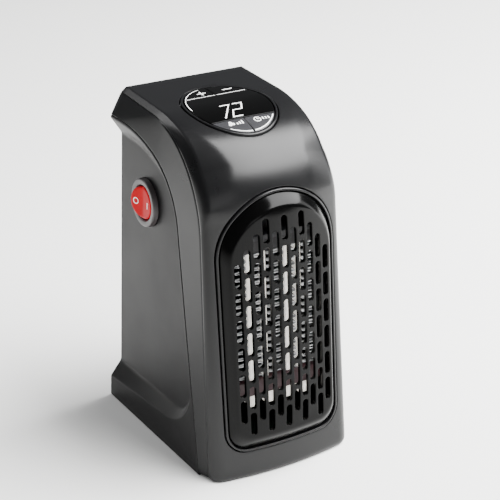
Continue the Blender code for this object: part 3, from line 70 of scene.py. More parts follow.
def linear(colour):
    """An sRGB hex colour as linear red, green and blue."""
    shares = [int(colour[i:i + 2], 16) / 255 for i in (1, 3, 5)]
    return tuple(
        share / 12.92 if share <= 0.04045 else ((share + 0.055) / 1.055) ** 2.4 for share in shares
    )


def length(name, default, description):
    return bpy.props.FloatProperty(
        name=name, description=description, default=default, unit="LENGTH", precision=5
    )


def angle(name, degrees, description):
    return bpy.props.FloatProperty(
        name=name, description=description, default=math.radians(degrees), subtype="ANGLE"
    )


def count(name, default, description):
    return bpy.props.IntProperty(name=name, description=description, default=default, min=1)


def colour(name, default, description):
    return bpy.props.FloatVectorProperty(
        name=name, description=description, default=linear(default), subtype="COLOR", size=3
    )


class HeaterHousing(bpy.types.PropertyGroup):
    """Sizes of the front shell, the side panels and the base"""

    height: length("Height", 0.160, "From the base to the top of the middle line")
    plug_height: length("Plug height", 0.124, "From the base to the middle of the plug")
    setback: length("Setback", 0.001, "From the wall plate to the housing's back edge")
    wall: length("Wall", 0.0022, "Thickness of the mouldings")
    gap: length("Gap", 0.0003, "Gap between neighbouring mouldings")
    half_width: length("Half width", 0.045, "At the base's back corner")
    side_lean: angle("Side lean", 2.7, "How far the sides lean in towards the top")
    side_toe: angle("Side toe", 4.5, "How far the sides turn in towards the front")
    front_lean: angle("Front lean", 4.2, "How far the front leans back")
    flat_run: length("Flat run", 0.038, "Flat part of the top")
    crown_radius: length("Crown radius", 0.090, "First bend of the top")
    crown_turn: angle("Crown turn", 16, "Where the first bend ends")
    bend_radius: length("Bend radius", 0.036, "Bend from the top into the front")
    crown_half_width: length("Crown half width", 0.030, "Middle line to the crease")
    top_bow: length("Top bow", 0.0062, "Bow across the crown where the front starts")
    base_bow: length("Base bow", 0.0026, "Bow across the crown at the base")
    facet_slope: angle("Facet slope", 11, "Extra slope of the crown's side faces")
    facet_round: length("Facet rounding", 0.0007, "Softness of the crease where they start")
    shoulder_drop: length("Shoulder drop", 0.002, "Below the middle line")
    shoulder_run: length("Shoulder run", 0.034, "Flat part of the shoulder line")
    shoulder_radius: length("Shoulder radius", 0.046, "Bend of the shoulder line")
    shoulder_top: length("Shoulder top", 0.0325, "Half width of the shoulder line at the top")
    shoulder_base: length("Shoulder base", 0.0362, "Half width of the shoulder line at the base")
    seam_drop: length("Seam drop", 0.012, "Below the middle line")
    seam_run: length("Seam run", 0.010, "Flat part of the seam")
    seam_first_radius: length("Seam first radius", 0.070, "First bend of the seam")
    seam_first_turn: angle("Seam first turn", 25, "Where the seam's first bend ends")
    seam_radius: length("Seam radius", 0.038, "Second bend of the seam")
    seam_lean: angle("Seam lean", 11.3, "How far the seam leans back")
    groove: length("Groove", 0.00035, "Depth of the line along the shoulder")
    lip: length("Lip", 0.0004, "Rounding of the shell's edges")
    base_rise: length("Base rise", 0.0034, "Height of the rounding at the base")
    base_inset: length("Base inset", 0.0020, "Depth of the rounding at the base")
    recess_depth: length("Recess depth", 0.0055, "Depth of the hand recess at the back")
    floor_toe: angle("Floor toe", 1.5, "How far the recess floor turns in towards the front")
    land: length("Land", 0.0009, "Flat edge between the seam and the recess")
    rim_front: length("Rim front", 0.0026, "Width of the recess wall at the front")
    rim_rear: length("Rim rear", 0.0095, "Width of the recess wall at the back")
    skirt_rear: length("Skirt rear", 0.0105, "Height of the skirt at the back")
    skirt_front: length("Skirt front", 0.015, "Height of the skirt at the front")
    ramp: length("Ramp", 0.009, "Height of the recess wall above the skirt")
    corner: length("Corner", 0.024, "Radius of the recess's lower corner")
    tongue: length("Tongue", 0.0008, "Thickness of the lip behind the seam")


class HeaterOutlet(bpy.types.PropertyGroup):
    """Sizes of the air outlet"""

    half_width: length("Half width", 0.0296, "Half width of the opening")
    top: length("Top", 0.136, "Top of the opening above the base")
    bottom: length("Bottom", 0.0137, "Bottom of the opening above the base")
    corner: length("Corner", 0.011, "Radius of the lower corners")
    mouth: length("Mouth", 0.0006, "Rounding round the opening")
    ring_width: length("Ring width", 0.0014, "Width of the thin ring")
    ring_proud: length("Ring proud", 0.0005, "How far the ring stands out")
    ring_depth: length("Ring depth", 0.0045, "How far the ring reaches in")
    ring_line: length("Ring line", 0.00015, "Extra width of the dark lines beside the ring")
    plateau_half_width: length("Plateau half width", 0.0241, "Half width of the slotted face")
    plateau_top: length("Plateau top", 0.1285, "Top of the slotted face")
    plateau_bottom: length("Plateau bottom", 0.0229, "Bottom of the slotted face")
    plateau_corner: length("Plateau corner", 0.008, "Radius of its lower corners")
    rise: length("Rise", 0.00347, "How far the slotted face stands out")
    crown: length("Crown", 0.0009, "Extra rise in its middle")
    wall: length("Wall", 0.0018, "Thickness of the grille")
    slot_top: length("Slot top", 0.1257, "Top of the highest slots")
    slot_pitch: length("Slot pitch", 0.01295, "From one slot down to the next")
    slot_length: length("Slot length", 0.011, "Length of a slot")
    slot_width: length("Slot width", 0.0029, "Width of a slot")
    slot_edge: length("Slot edge", 0.0003, "Rounding round a slot")
    column_pitch: length("Column pitch", 0.00435, "From one column of slots to the next")
    rows: count("Rows", 8, "Slots in a full column")


class HeaterPanel(bpy.types.PropertyGroup):
    """Sizes of the control panel on the top"""

    middle: length("Middle", 0.0437, "Depth of the panel's middle")
    half_width: length("Half width", 0.0209, "Half width of the oval")
    half_depth: length("Half depth", 0.0256, "Half depth of the oval")
    ring_width: length("Ring width", 0.0015, "Width of the ring")
    ring_proud: length("Ring proud", 0.0004, "How far the ring stands out")
    ring_line: length("Ring line", 0.0002, "Extra width of the dark lines beside the ring")
    mouth: length("Mouth", 0.0004, "Rounding round the opening")
    rear_line: length("Rear line", 0.0315, "Depth of the line in front of the rear keys")
    front_line: length("Front line", 0.057, "Depth of the line behind the front keys")
    key_thickness: length("Key thickness", 0.002, "Thickness of keys and window")
    key_proud: length("Key proud", 0.0003, "How far the keys stand out")
    key_round: length("Key rounding", 0.0003, "Rounding of the keys' edges")
    board_top: length("Board top", 0.1476, "Top of the control board above the base")
    digit_height: length("Digit height", 0.011, "Height of a digit")
    digit_width: length("Digit width", 0.0044, "Width of a digit")
    digit_pitch: length("Digit pitch", 0.0062, "From one digit to the next")
    digit_left: length("Digit shift", -0.0022, "Middle of the digits beside the middle line")
    digit_depth: length("Digit depth", 0.0498, "Depth of the digits' middle")
    digit_slant: angle("Digit slant", 25, "How far the digits lean")
    stroke: length("Stroke", 0.00062, "Width of a digit's strokes")
    print_lift: length("Print lift", 0.00003, "Thickness of printed marks")


class HeaterSwitch(bpy.types.PropertyGroup):
    """Sizes of the round power switch"""

    depth: length("Depth", 0.027, "Depth of the switch's middle")
    height: length("Height", 0.1135, "Height of the switch's middle")
    flange_radius: length("Flange radius", 0.0115, "Radius of the collar")
    flange: length("Flange", 0.0024, "Thickness of the collar")
    barrel_radius: length("Barrel radius", 0.0101, "Radius of the barrel")
    barrel_length: length("Barrel length", 0.015, "Length of the barrel")
    cavity_radius: length("Cavity radius", 0.008, "Radius of the well round the rocker")
    cavity_depth: length("Cavity depth", 0.0105, "Depth of that well")
    rocker_radius: length("Rocker radius", 0.0076, "Radius of the rocker")
    rocker_crown: length("Rocker crown", 0.0016, "Height of the rocker's rim above its pivot")
    rocker_skirt: length("Rocker skirt", 0.0034, "Depth of the rocker below its pivot")
    pivot: length("Pivot", 0.0005, "Depth of the pivot below the collar")
    tilt: angle("Tilt", 11, "Slope of the rocker's faces")


class HeaterElement(bpy.types.PropertyGroup):
    """Sizes of the heating element"""

    bottom: length("Bottom", 0.044, "Bottom of the fins above the base")
    top: length("Top", 0.109, "Top of the fins above the base")
    front: length("Front", 0.0865, "Depth of the front at half height")
    depth: length("Depth", 0.015, "Front to back")
    lean: angle("Lean", 3.5, "How far the element leans back")
    half_width: length("Half width", 0.0202, "Middle to the outer fins' ends")
    fin_pitch: length("Fin pitch", 0.0016, "From one fold to the next")
    fin_sheet: length("Fin sheet", 0.00045, "Thickness of the folded strip")
    holder_half_width: length("Holder half width", 0.022, "Half width of the holders")
    holder_rim: length("Holder rim", 0.0011, "How far the holders stand out in front and behind")
    holder_low: length("Holder bottom", 0.0382, "Bottom of the lower holder above the base")
    holder_high: length("Holder top", 0.1132, "Top of the upper holder above the base")
    holder_bite: length("Holder bite", 0.0018, "Overlap of holder and fins")
    foot_width: length("Foot width", 0.0044, "Width of a ceramic foot")
    foot_depth: length("Foot depth", 0.006, "Depth of a ceramic foot")
    foot_low: length("Foot bottom", 0.0324, "Bottom of the ceramic feet above the base")


class HeaterPlug(bpy.types.PropertyGroup):
    """Sizes of the turning plug and the screws at the back"""

    radius: length("Radius", 0.022, "Radius of the turntable's face")
    flange_radius: length("Flange radius", 0.0245, "Radius of its flange")
    flange_depth: length("Flange depth", 0.0025, "Depth of the flange behind the back edge")
    flange: length("Flange", 0.0025, "Thickness of the flange")
    boss_radius: length("Boss radius", 0.0155, "Radius of the boss inside")
    deep: length("Length", 0.012, "Length of the turntable")
    rounding: length("Rounding", 0.0007, "Rounding of the face's edge")
    groove_radius: length("Groove radius", 0.0195, "Radius of the ring in the face")
    blade_spacing: length("Blade spacing", 0.0127, "Between the blades")
    blade_rise: length("Blade rise", 0.0045, "Blades above the turntable's middle")
    line_width: length("Line blade width", 0.00635, "Width of the line blade")
    neutral_width: length("Neutral blade width", 0.0079, "Width of the neutral blade")
    blade: length("Blade", 0.0015, "Thickness of a blade")
    reach: length("Reach", 0.0165, "How far the blades stand out of the wall plane")
    tail: length("Tail", 0.003, "How far the blades stand into the housing")
    chamfer: length("Chamfer", 0.0012, "Slope at the blades' tips")
    hole: length("Hole", 0.0015, "Radius of the hole in a blade")
    hole_reach: length("Hole reach", 0.0117, "Where that hole is")
    pin_radius: length("Pin radius", 0.0024, "Radius of the ground pin")
    pin_reach: length("Pin reach", 0.0195, "How far the pin stands out")
    pin_drop: length("Pin drop", 0.0119, "Pin below the blades")
    screw_head: length("Screw head", 0.0026, "Radius of a screw's head")
    screw_sink: length("Screw sink", 0.0013, "Thickness of that head")
    screw_shank: length("Screw shank", 0.0012, "Radius of the screw")
    screw_length: length("Screw length", 0.010, "Length below the head")
    cross: length("Cross", 0.0007, "Width of the drive's arms")
    edge: length("Edge", 0.00018, "Rounding of the cover's and the base's edges")


class HeaterFinish(bpy.types.PropertyGroup):
    """Colours of the finishes"""

    charcoal: colour("Charcoal", "#0c0c0d", "Front shell, cover and base")
    panel: colour("Panel", "#131213", "Side panels")
    black: colour("Black", "#030303", "Gloss black parts")
    matt_black: colour("Matt black", "#151516", "Plug and small black parts")
    collar: colour("Collar", "#3a3536", "Switch collar")
    key: colour("Key", "#2e2e30", "Front keys")
    red: colour("Red", "#a8000c", "Rocker")
    ink: colour("Ink", "#fafaf8", "Printed marks and digits")
    ceramic: colour("Ceramic", "#f1ece4", "Insulating bars")
    aluminium: colour("Aluminium", "#d6d7d9", "Fins")
    steel: colour("Steel", "#c3c4c6", "Screws, motor and retainer")
    brass: colour("Brass", "#d8c48a", "Blades and pin")
    phenolic: colour("Phenolic", "#3a2024", "Holders of the element")
    board: colour("Board", "#0a130e", "Circuit boards")
    duct: colour("Duct", "#2e2e30", "Fan duct")
    fan: colour("Fan", "#cfcfca", "Impeller")
    relay: colour("Relay", "#1c4d94", "Relay case")
    lead: colour("Lead", "#221414", "Insulated leads")


class HeaterStudio(bpy.types.PropertyGroup):
    """Floor, lights and camera"""

    floor: colour("Floor", "#f4f4f2", "Pale floor")
    sky: colour("Surround", "#b9bbbe", "Light from all round")
    sky_strength: bpy.props.FloatProperty(
        name="Surround strength", description="How bright the surround is", default=0.42
    )
    power: bpy.props.FloatProperty(
        name="Power", description="Scales every lamp", default=1.0, min=0.0
    )
    lens: bpy.props.FloatProperty(name="Lens", description="Focal length in mm", default=99.34)


GROUPS = {
    "heater_housing": HeaterHousing, "heater_outlet": HeaterOutlet, "heater_panel": HeaterPanel,
    "heater_switch": HeaterSwitch, "heater_element": HeaterElement, "heater_plug": HeaterPlug,
    "heater_finish": HeaterFinish, "heater_studio": HeaterStudio,
}


# Lines and surfaces of the housing


def clamp(value, low=0.0, high=1.0):
    return min(max(value, low), high)


def mix(first, second, share):
    return first + (second - first) * share


def rounding(distance, radius):
    """How far a rounded edge falls away at a distance from it."""
    reach = clamp(radius - distance, 0.0, radius)
    return radius - math.sqrt(radius ** 2 - reach ** 2)


def at(x, depth, height):
    """The place at a depth in front of the housing's back edge and a height above its base."""
    housing = bpy.context.scene.heater_housing
    return Vector((x, -housing.setback - depth, height - housing.plug_height))


class Skin:
    """The housing's outer surfaces, worked out from its sizes."""

    def __init__(self):
        h = bpy.context.scene.heater_housing
        self.sizes = h
        self.square = math.pi / 2 - h.front_lean
        self.middle = (h.height, h.flat_run, h.crown_radius, h.crown_turn, h.bend_radius, self.square)
        self.shoulder = (
            h.height - h.shoulder_drop, h.shoulder_run, h.shoulder_radius, h.crown_turn,
            h.shoulder_radius, self.square,
        )
        self.seam = (
            h.height - h.seam_drop, h.seam_run, h.seam_first_radius, h.seam_first_turn,
            h.seam_radius, math.pi / 2 - h.seam_lean,
        )
        steps = 800
        self.line = [self.along(self.middle, 4 * i / steps) for i in range(steps + 1)]

    def along(self, rail, stage):
        """Depth, height and heading of a rail: flat to 1, first bend to 2, next to 3, fall to 4."""
        level, run, first_radius, first_turn, radius, last_turn = rail
        depth = run * clamp(stage)
        heading = 0.0
        for bend, start, end, share in (
            (first_radius, 0.0, first_turn, stage - 1), (radius, first_turn, last_turn, stage - 2)
        ):
            heading = mix(start, end, clamp(share))
            depth += bend * (math.sin(heading) - math.sin(start))
            level -= bend * (math.cos(start) - math.cos(heading))
            if share <= 1:
                break
        drop = level * clamp(stage - 3)
        return depth + drop * math.tan(math.pi / 2 - heading), level - drop, heading

    def side(self, depth, height):
        h = self.sizes
        return h.half_width - height * math.tan(h.side_lean) - depth * math.tan(h.side_toe)

    def floor(self, depth, height):
        h = self.sizes
        rear = h.half_width - h.recess_depth
        return rear - height * math.tan(h.side_lean) - depth * math.tan(h.floor_toe)

    def bow(self, height, heading):
        h = self.sizes
        return mix(h.base_bow, h.top_bow, height / h.height) * heading / self.square

    def facet(self, stage):
        """Where the crown's side faces start and how steeply they fall away."""
        h = self.sizes
        share = FACET_LINE[-1][1]
        for first, second in zip(FACET_LINE, FACET_LINE[1:]):
            if stage <= second[0]:
                share = mix(first[1], second[1], clamp((stage - first[0]) / (second[0] - first[0])))
                break
        fade = clamp((stage - 0.8) / 1.2) * clamp((2.85 - stage) / 0.45)
        return h.crown_half_width * share, math.tan(h.facet_slope) * fade

    def crown(self, stage, x):
        depth, height, heading = self.along(self.middle, stage)
        fall = self.bow(height, heading) * (x / self.sizes.crown_half_width) ** 2
        start, slope = self.facet(stage)
        out = abs(x) - start
        fall += slope * (out + math.hypot(out, self.sizes.facet_round)) / 2
        return Vector((x, depth - fall * math.sin(heading), height - fall * math.cos(heading)))

    def section(self, stage, across):
        """A point of the shell: the crown to 1, the shoulder to 2 and the band to the seam at 3."""
        h = self.sizes
        if across <= 1:
            return self.crown(stage, h.crown_half_width * across)
        _, level, heading = self.along(self.middle, stage)
        crease = self.crown(stage, h.crown_half_width)
        depth, height, _ = self.along(self.shoulder, stage)
        share = height / (h.height - h.shoulder_drop)
        edge = Vector((mix(h.shoulder_base, h.shoulder_top, share), depth, height))
        if across <= 2:
            slope = 2 * self.bow(level, heading) / h.crown_half_width + self.facet(stage)[1]
            fall = slope * (edge.x - crease.x)
            square = Vector((
                edge.x, crease.y - fall * math.sin(heading), crease.z - fall * math.cos(heading)
            ))
            corner = mix((crease + edge) / 2, square, heading / self.square)
            share = across - 1
            return mix(mix(crease, corner, share), mix(corner, edge, share), share)
        depth, height, _ = self.along(self.seam, stage)
        return mix(edge, Vector((self.side(depth, height), depth, height)), across - 2)

    def at_value(self, value, column):
        """The middle line where its depth (column 0) or height (column 1) has a value."""
        low, high = 0, len(self.line) - 1
        rising = column == 0
        while high - low > 1:
            half = (low + high) // 2
            if (self.line[half][column] < value) == rising:
                low = half
            else:
                high = half
        first, second = self.line[low], self.line[high]
        span = second[column] - first[column]
        share = clamp((value - first[column]) / span) if span else 0.0
        return [mix(a, b, share) for a, b in zip(first, second)]

    def front(self, x, height):
        """Depth of the front at a place in the front view."""
        depth, _, heading = self.at_value(height, 1)
        return depth - self.bow(height, heading) * (x / self.sizes.crown_half_width) ** 2

    def top(self, x, depth):
        """Height of the top at a place in the top view."""
        _, height, heading = self.at_value(depth, 0)
        return height - self.bow(height, heading) * (x / self.sizes.crown_half_width) ** 2


# Mesh tools


def laid_grid(bm, columns, rows, place):
    """A grid whose points go where place(column, row) says."""
    made = bmesh.ops.create_grid(bm, x_segments=columns, y_segments=rows, size=1.0)["verts"]
    laid = {}
    for vert in made:
        laid[round((vert.co.x + 1) / 2 * columns), round((vert.co.y + 1) / 2 * rows)] = vert
    for (column, row), vert in laid.items():
        vert.co = place(column, row)
    return laid


def lofted(loops, close=True, cap=True):
    """A skin through closed loops of equal counts, joined to itself or capped at both ends."""
    bm = bmesh.new()
    if close:
        loops = loops + [loops[0]]
    around = len(loops[0])
    laid_grid(bm, around, len(loops) - 1, lambda i, j: loops[j][i % around])
    bmesh.ops.remove_doubles(bm, verts=bm.verts, dist=MERGE)
    if cap and not close:
        bmesh.ops.holes_fill(bm, edges=[edge for edge in bm.edges if edge.is_boundary], sides=0)
    bmesh.ops.recalc_face_normals(bm, faces=bm.faces)
    return bm


def thickened(bm, inner):
    """A closed wall: the skin's copy goes where inner(vert) says, and the edges are bridged."""
    bm.verts.index_update()
    skin = list(bm.verts)
    targets = [inner(vert) for vert in skin]
    copied = bmesh.ops.duplicate(bm, geom=bm.verts[:] + bm.edges[:] + bm.faces[:])
    twins = copied["vert_map"]
    for vert, target in zip(skin, targets):
        twins[vert].co = target
    faces = [item for item in copied["geom"] if isinstance(item, bmesh.types.BMFace)]
    bmesh.ops.reverse_faces(bm, faces=faces)
    bmesh.ops.bridge_loops(bm, edges=[edge for edge in bm.edges if edge.is_boundary])
    bmesh.ops.recalc_face_normals(bm, faces=bm.faces)


def outwards(bm, out):
    """Turns an open skin's faces over if the sum of out(face) says that they look inwards."""
    bm.normal_update()
    if sum(out(face) for face in bm.faces) < 0:
        bmesh.ops.reverse_faces(bm, faces=bm.faces)
        bm.normal_update()


def turned(profile, matrix, steps=64):
    """A solid turned about local Z from (radius, height) points that start and end on the axis."""
    bm = bmesh.new()
    verts = [bm.verts.new((radius, 0, height)) for radius, height in profile]
    edges = [bm.edges.new(pair) for pair in zip(verts, verts[1:])]
    bmesh.ops.spin(
        bm, geom=verts + edges, cent=(0, 0, 0), axis=(0, 0, 1), angle=2 * math.pi, steps=steps,
        use_merge=True,
    )
    bmesh.ops.remove_doubles(bm, verts=bm.verts, dist=MERGE)
    bmesh.ops.recalc_face_normals(bm, faces=bm.faces)
    bmesh.ops.transform(bm, matrix=matrix, verts=bm.verts)
    return bm


def bevelled(bm, edges, offset, segments, clamp_overlap=True):
    bmesh.ops.bevel(
        bm, geom=edges, offset=offset, offset_type="OFFSET", segments=segments, profile=0.5,
        affect="EDGES", material=-1, clamp_overlap=clamp_overlap,
    )


def block(bm, size, middle):
    made = bmesh.ops.create_cube(bm, size=1.0)["verts"]
    bmesh.ops.scale(bm, vec=size, verts=made)
    bmesh.ops.translate(bm, vec=middle, verts=made)
    return made


def rounded_box(low, high, radius):
    """A box between two corners with rounded edges."""
    bm = bmesh.new()
    block(bm, high - low, (high + low) / 2)
    bevelled(bm, bm.edges[:], radius, 3)
    return bm


def arc(centre, radius, start, end, steps):
    """Points of an arc in a flat view, angles in degrees."""
    points = []
    for i in range(steps + 1):
        turn = math.radians(mix(start, end, i / steps))
        points.append((centre[0] + radius * math.cos(turn), centre[1] + radius * math.sin(turn)))
    return points


def soft_edge(points, corner, radius, steps=4):
    """Points of a profile with one of its corners rounded."""
    before, here, after = (Vector(points[corner + step]) for step in (-1, 0, 1))
    start = here + (before - here).normalized() * radius
    end = here + (after - here).normalized() * radius
    curve = []
    for i in range(steps + 1):
        share = i / steps
        curve.append(tuple(mix(mix(start, here, share), mix(here, end, share), share)))
    return points[:corner] + curve + points[corner + 1:]


def softened(points, radii):
    """A profile with several corners rounded, given as {corner: radius}."""
    for corner in sorted(radii, reverse=True):
        points = soft_edge(points, corner, radii[corner])
    return points


def new_object(name, bm, finish):
    mesh = bpy.data.meshes.new(name)
    bm.to_mesh(mesh)
    bm.free()
    if finish:
        mesh.materials.append(FINISHES[finish])
    obj = bpy.data.objects.new(name, mesh)
    bpy.context.scene.collection.objects.link(obj)
    return obj


def carved(obj, bm):
    """Cuts another shape away from an object."""
    tool = new_object(obj.name + "_tool", bm, None)
    cut = obj.modifiers.new("cut", "BOOLEAN")
    cut.operation = "DIFFERENCE"
    cut.solver = "EXACT"
    cut.object = tool
    seen = obj.evaluated_get(bpy.context.evaluated_depsgraph_get())
    mesh = bpy.data.meshes.new_from_object(seen)
    if len(mesh.polygons) == 0:
        raise RuntimeError(obj.name + ": the cut left nothing")
    obj.modifiers.clear()
    old = obj.data
    obj.data = mesh
    mesh.name = old.name
    bpy.data.meshes.remove(old)
    shape = tool.data
    bpy.data.objects.remove(tool, do_unlink=True)
    bpy.data.meshes.remove(shape)


def settled(obj, slot, body="housing", nodes=(), crisp=32):
    """Smooth shading with crisp edges, and the piece's body and nodes; the slot is not used."""
    obj.data.shade_smooth()
    obj.data.set_sharp_from_angle(angle=math.radians(crisp))
    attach(obj, body)
    if nodes:
        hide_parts(*nodes)


def piece(name, bm, finish, slot, body="housing", nodes=(), crisp=32):
    settled(new_object(name, bm, finish), slot, body, nodes, crisp)


# Finishes

FINISHES = {}


def add_node(tree, kind, settings=None, links=None):
    """Adds a node with its settings and its links."""
    node = tree.nodes.new(kind)
    for key, value in (settings or {}).items():
        if isinstance(key, int) or key in node.inputs:
            node.inputs[key].default_value = value
        else:
            setattr(node, key, value)
    for key, source in (links or {}).items():
        tree.links.new(source, node.inputs[key])
    return node


def opaque(colour, factor=1.0):
    """A colour, lightened or darkened by a factor, with full opacity."""
    return (*[min(part * factor, 1.0) for part in colour], 1.0)


def new_finish(name, base, settings):
    """A material of one colour, with values for its shader's sockets."""
    made = bpy.data.materials.new(name)
    made.use_nodes = True
    made.diffuse_color = opaque(base)
    shader = made.node_tree.nodes["Principled BSDF"]
    for socket, value in {"Base Color": opaque(base), **settings}.items():
        shader.inputs[socket].default_value = value
    return made, made.node_tree, shader


def per_metre(millimetres):
    """A texture scale from the real size of one of its cells."""
    return 1000 / millimetres


def coloured(tree, shader, source, *stops):
    """Drives the base colour from a node's factor through two (position, colour) stops."""
    ramp = add_node(tree, "ShaderNodeValToRGB", links={"Fac": source.outputs["Fac"]})
    for element, (position, tone) in zip(ramp.color_ramp.elements, stops):
        element.position = position
        element.color = tone
    tree.links.new(ramp.outputs["Color"], shader.inputs["Base Color"])


def varied(tree, shader, base, spread, cell, roughness, rough_spread):
    """Slow changes of colour and gloss, as moulding and handling leave them."""
    where = add_node(tree, "ShaderNodeTexCoord")
    cloud = add_node(
        tree, "ShaderNodeTexNoise", {"Scale": per_metre(cell), "Detail": 4.0, "Roughness": 0.55},
        {"Vector": where.outputs["Object"]},
    )
    coloured(tree, shader, cloud, (0.3, opaque(base, 1 - spread)), (0.7, opaque(base, 1 + spread)))
    gloss = add_node(
        tree, "ShaderNodeMapRange",
        {"From Min": 0.3, "From Max": 0.7, "To Min": roughness - rough_spread,
         "To Max": roughness + rough_spread},
        {"Value": cloud.outputs["Fac"]},
    )
    tree.links.new(gloss.outputs["Result"], shader.inputs["Roughness"])
    return where


def raised(tree, shader, source, depth, strength):
    """A bump from a node's factor, its depth in millimetres."""
    bump = add_node(
        tree, "ShaderNodeBump", {"Strength": strength, "Distance": depth / 1000},
        {"Height": source.outputs["Fac"]},
    )
    tree.links.new(bump.outputs["Normal"], shader.inputs["Normal"])


def grained(tree, shader, where, cell, depth, strength):
    """A fine moulded grain as bump, its cells and depth in millimetres."""
    grain = add_node(
        tree, "ShaderNodeTexNoise", {"Scale": per_metre(cell), "Detail": 2.0, "Roughness": 0.6},
        {"Vector": where.outputs["Object"]},
    )
    raised(tree, shader, grain, depth, strength)


def moulded_plastic(name, base, roughness, grain, depth, spread=0.06, shine=0.5):
    made, tree, shader = new_finish(
        name, base, {"Roughness": roughness, "IOR": 1.52, "Specular IOR Level": shine}
    )
    where = varied(tree, shader, base, spread, 22, roughness, 0.03)
    grained(tree, shader, where, grain, depth, 0.5)
    return made


def make_finishes():
    """Every finish of the heater, each from the real material and how its surface was made."""
    tones = bpy.context.scene.heater_finish
    # Name, colour, roughness, size and depth of the grain in mm, spread of the colour, shine.
    plastics = {
        # Injection-moulded ABS with a fine spark-eroded grain: satin, with broad soft highlights.
        # The real grain is about 0.15 mm and is drawn at 0.5 mm so that it shows.
        "charcoal": ("satin_abs_charcoal", tones.charcoal, 0.3, 0.5, 0.012, 0.06, 0.23),
        # The side panels' moulding: the same plastic, drawn duller and a little paler than the shell.
        "panel": ("satin_abs_grey", tones.panel, 0.4, 0.5, 0.015, 0.06, 0.14),
        # Polished-tool ABS: deep black with a mirror-like face that shows slight waviness.
        "black_gloss": ("polished_abs_black", tones.black, 0.15, 9, 0.02, 0.06, 0.09),
        # Plain moulded nylon with a matt grain, drawn at twice its real 0.3 mm.
        "black_matt": ("moulded_nylon_black", tones.matt_black, 0.42, 0.6, 0.02),
        # Phenolic moulding of the upper holder, dull with faint flow marks.
        "holder_black": ("phenolic_black", tones.matt_black, 0.5, 1.2, 0.04),
        # The switch's collar: the same nylon in warm grey.
        "collar": ("moulded_nylon_grey", tones.collar, 0.38, 0.6, 0.02),
        # Keys in polished ABS over a grey moulding.
        "key_grey": ("polished_abs_grey", tones.key, 0.2, 9, 0.01),
        # Glass-filled PBT of the fan duct: dull and slightly mottled.
        "duct_plastic": ("glass_filled_pbt_grey", tones.duct, 0.55, 0.8, 0.03, 0.12),
        # Natural polypropylene of the impeller: waxy, off-white.
        "fan_plastic": ("polypropylene_white", tones.fan, 0.4, 3, 0.02),
        # Phenolic moulding of the lower holder: dull dark maroon with flow marks.
        "phenolic": ("phenolic_maroon", tones.phenolic, 0.5, 1.2, 0.04, 0.2),
        # Relay case in glossy polycarbonate.
        "relay_plastic": ("polycarbonate_blue", tones.relay, 0.28, 5, 0.01),
        # Silicone lead sleeve: soft sheen.
        "lead_insulation": ("silicone_sleeve_brown", tones.lead, 0.5, 1, 0.01),
    }
    for key, values in plastics.items():
        FINISHES[key] = moulded_plastic(*values)

    # Translucent polycarbonate rocker: light enters and glows back out of the red.
    made, tree, shader = new_finish("clear_polycarbonate_red", tones.red, {
        "Roughness": 0.3, "IOR": 1.58, "Specular IOR Level": 0.06, "Subsurface Weight": 0.2,
        "Subsurface Radius": (0.004, 0.0006, 0.0006), "Emission Color": (0.75, 0.0, 0.012, 1.0),
        "Emission Strength": 0.25,
    })
    where = varied(tree, shader, tones.red, 0.12, 6, 0.3, 0.03)
    grained(tree, shader, where, 1.5, 0.02, 0.35)
    FINISHES["red_lens"] = made

    # Screen-printed ink and lit digits: flat white with a faint glow, which is the digits' own light
    # and painted light on the printed marks.
    made, tree, shader = new_finish("screen_print_white", tones.ink, {
        "Roughness": 0.5, "Emission Color": opaque(tones.ink), "Emission Strength": 0.45,
    })
    varied(tree, shader, tones.ink, 0.03, 2, 0.5, 0.05)
    FINISHES["ink"] = made

    # Pressed and fired alumina: matt white with faint speckle, and a painted glow that keeps it white
    # in the shade inside.
    made, tree, shader = new_finish("fired_alumina_white", tones.ceramic, {
        "Roughness": 0.5, "IOR": 1.6, "Emission Color": opaque(tones.ceramic),
        "Emission Strength": 0.8,
    })
    where = varied(tree, shader, tones.ceramic, 0.05, 1.5, 0.5, 0.08)
    grained(tree, shader, where, 0.5, 0.03, 0.5)
    FINISHES["ceramic"] = made

    # Rolled aluminium strip: sheared edges bright at the front, and painted shade that darkens the
    # rest towards the back, where shade falls inside the element.
    made, tree, shader = drawn_metal("rolled_aluminium", tones.aluminium, 0.3, 0.4)
    front = add_node(tree, "ShaderNodeAttribute", {"attribute_name": "front"})
    coloured(
        tree, shader, front, (0.9, (0.02, 0.018, 0.018, 1.0)), (0.96, opaque(tones.aluminium, 0.55))
    )
    FINISHES["aluminium"] = made
    # Zinc-plated steel: bright with fine drawing marks.
    FINISHES["steel"] = drawn_metal("zinc_plated_steel", tones.steel, 0.3, 0.3)[0]
    # Stamped brass of the blades, worn smooth by the outlet's springs.
    FINISHES["brass"] = drawn_metal("stamped_brass", tones.brass, 0.24, 0.35)[0]

    # Dark green solder mask over glass-epoxy laminate: tracks show as slightly lighter lines.
    made, tree, shader = new_finish(
        "solder_mask_green", tones.board, {"Roughness": 0.3, "IOR": 1.5}
    )
    where = add_node(tree, "ShaderNodeTexCoord")
    tracks = add_node(
        tree, "ShaderNodeTexBrick",
        {"Scale": per_metre(6), "Color1": opaque(tones.board), "Color2": opaque(tones.board, 0.8),
         "Mortar": opaque(tones.board, 1.8), "Mortar Size": 0.03},
        {"Vector": where.outputs["Object"]},
    )
    tree.links.new(tracks.outputs["Color"], shader.inputs["Base Color"])
    FINISHES["circuit_board"] = made


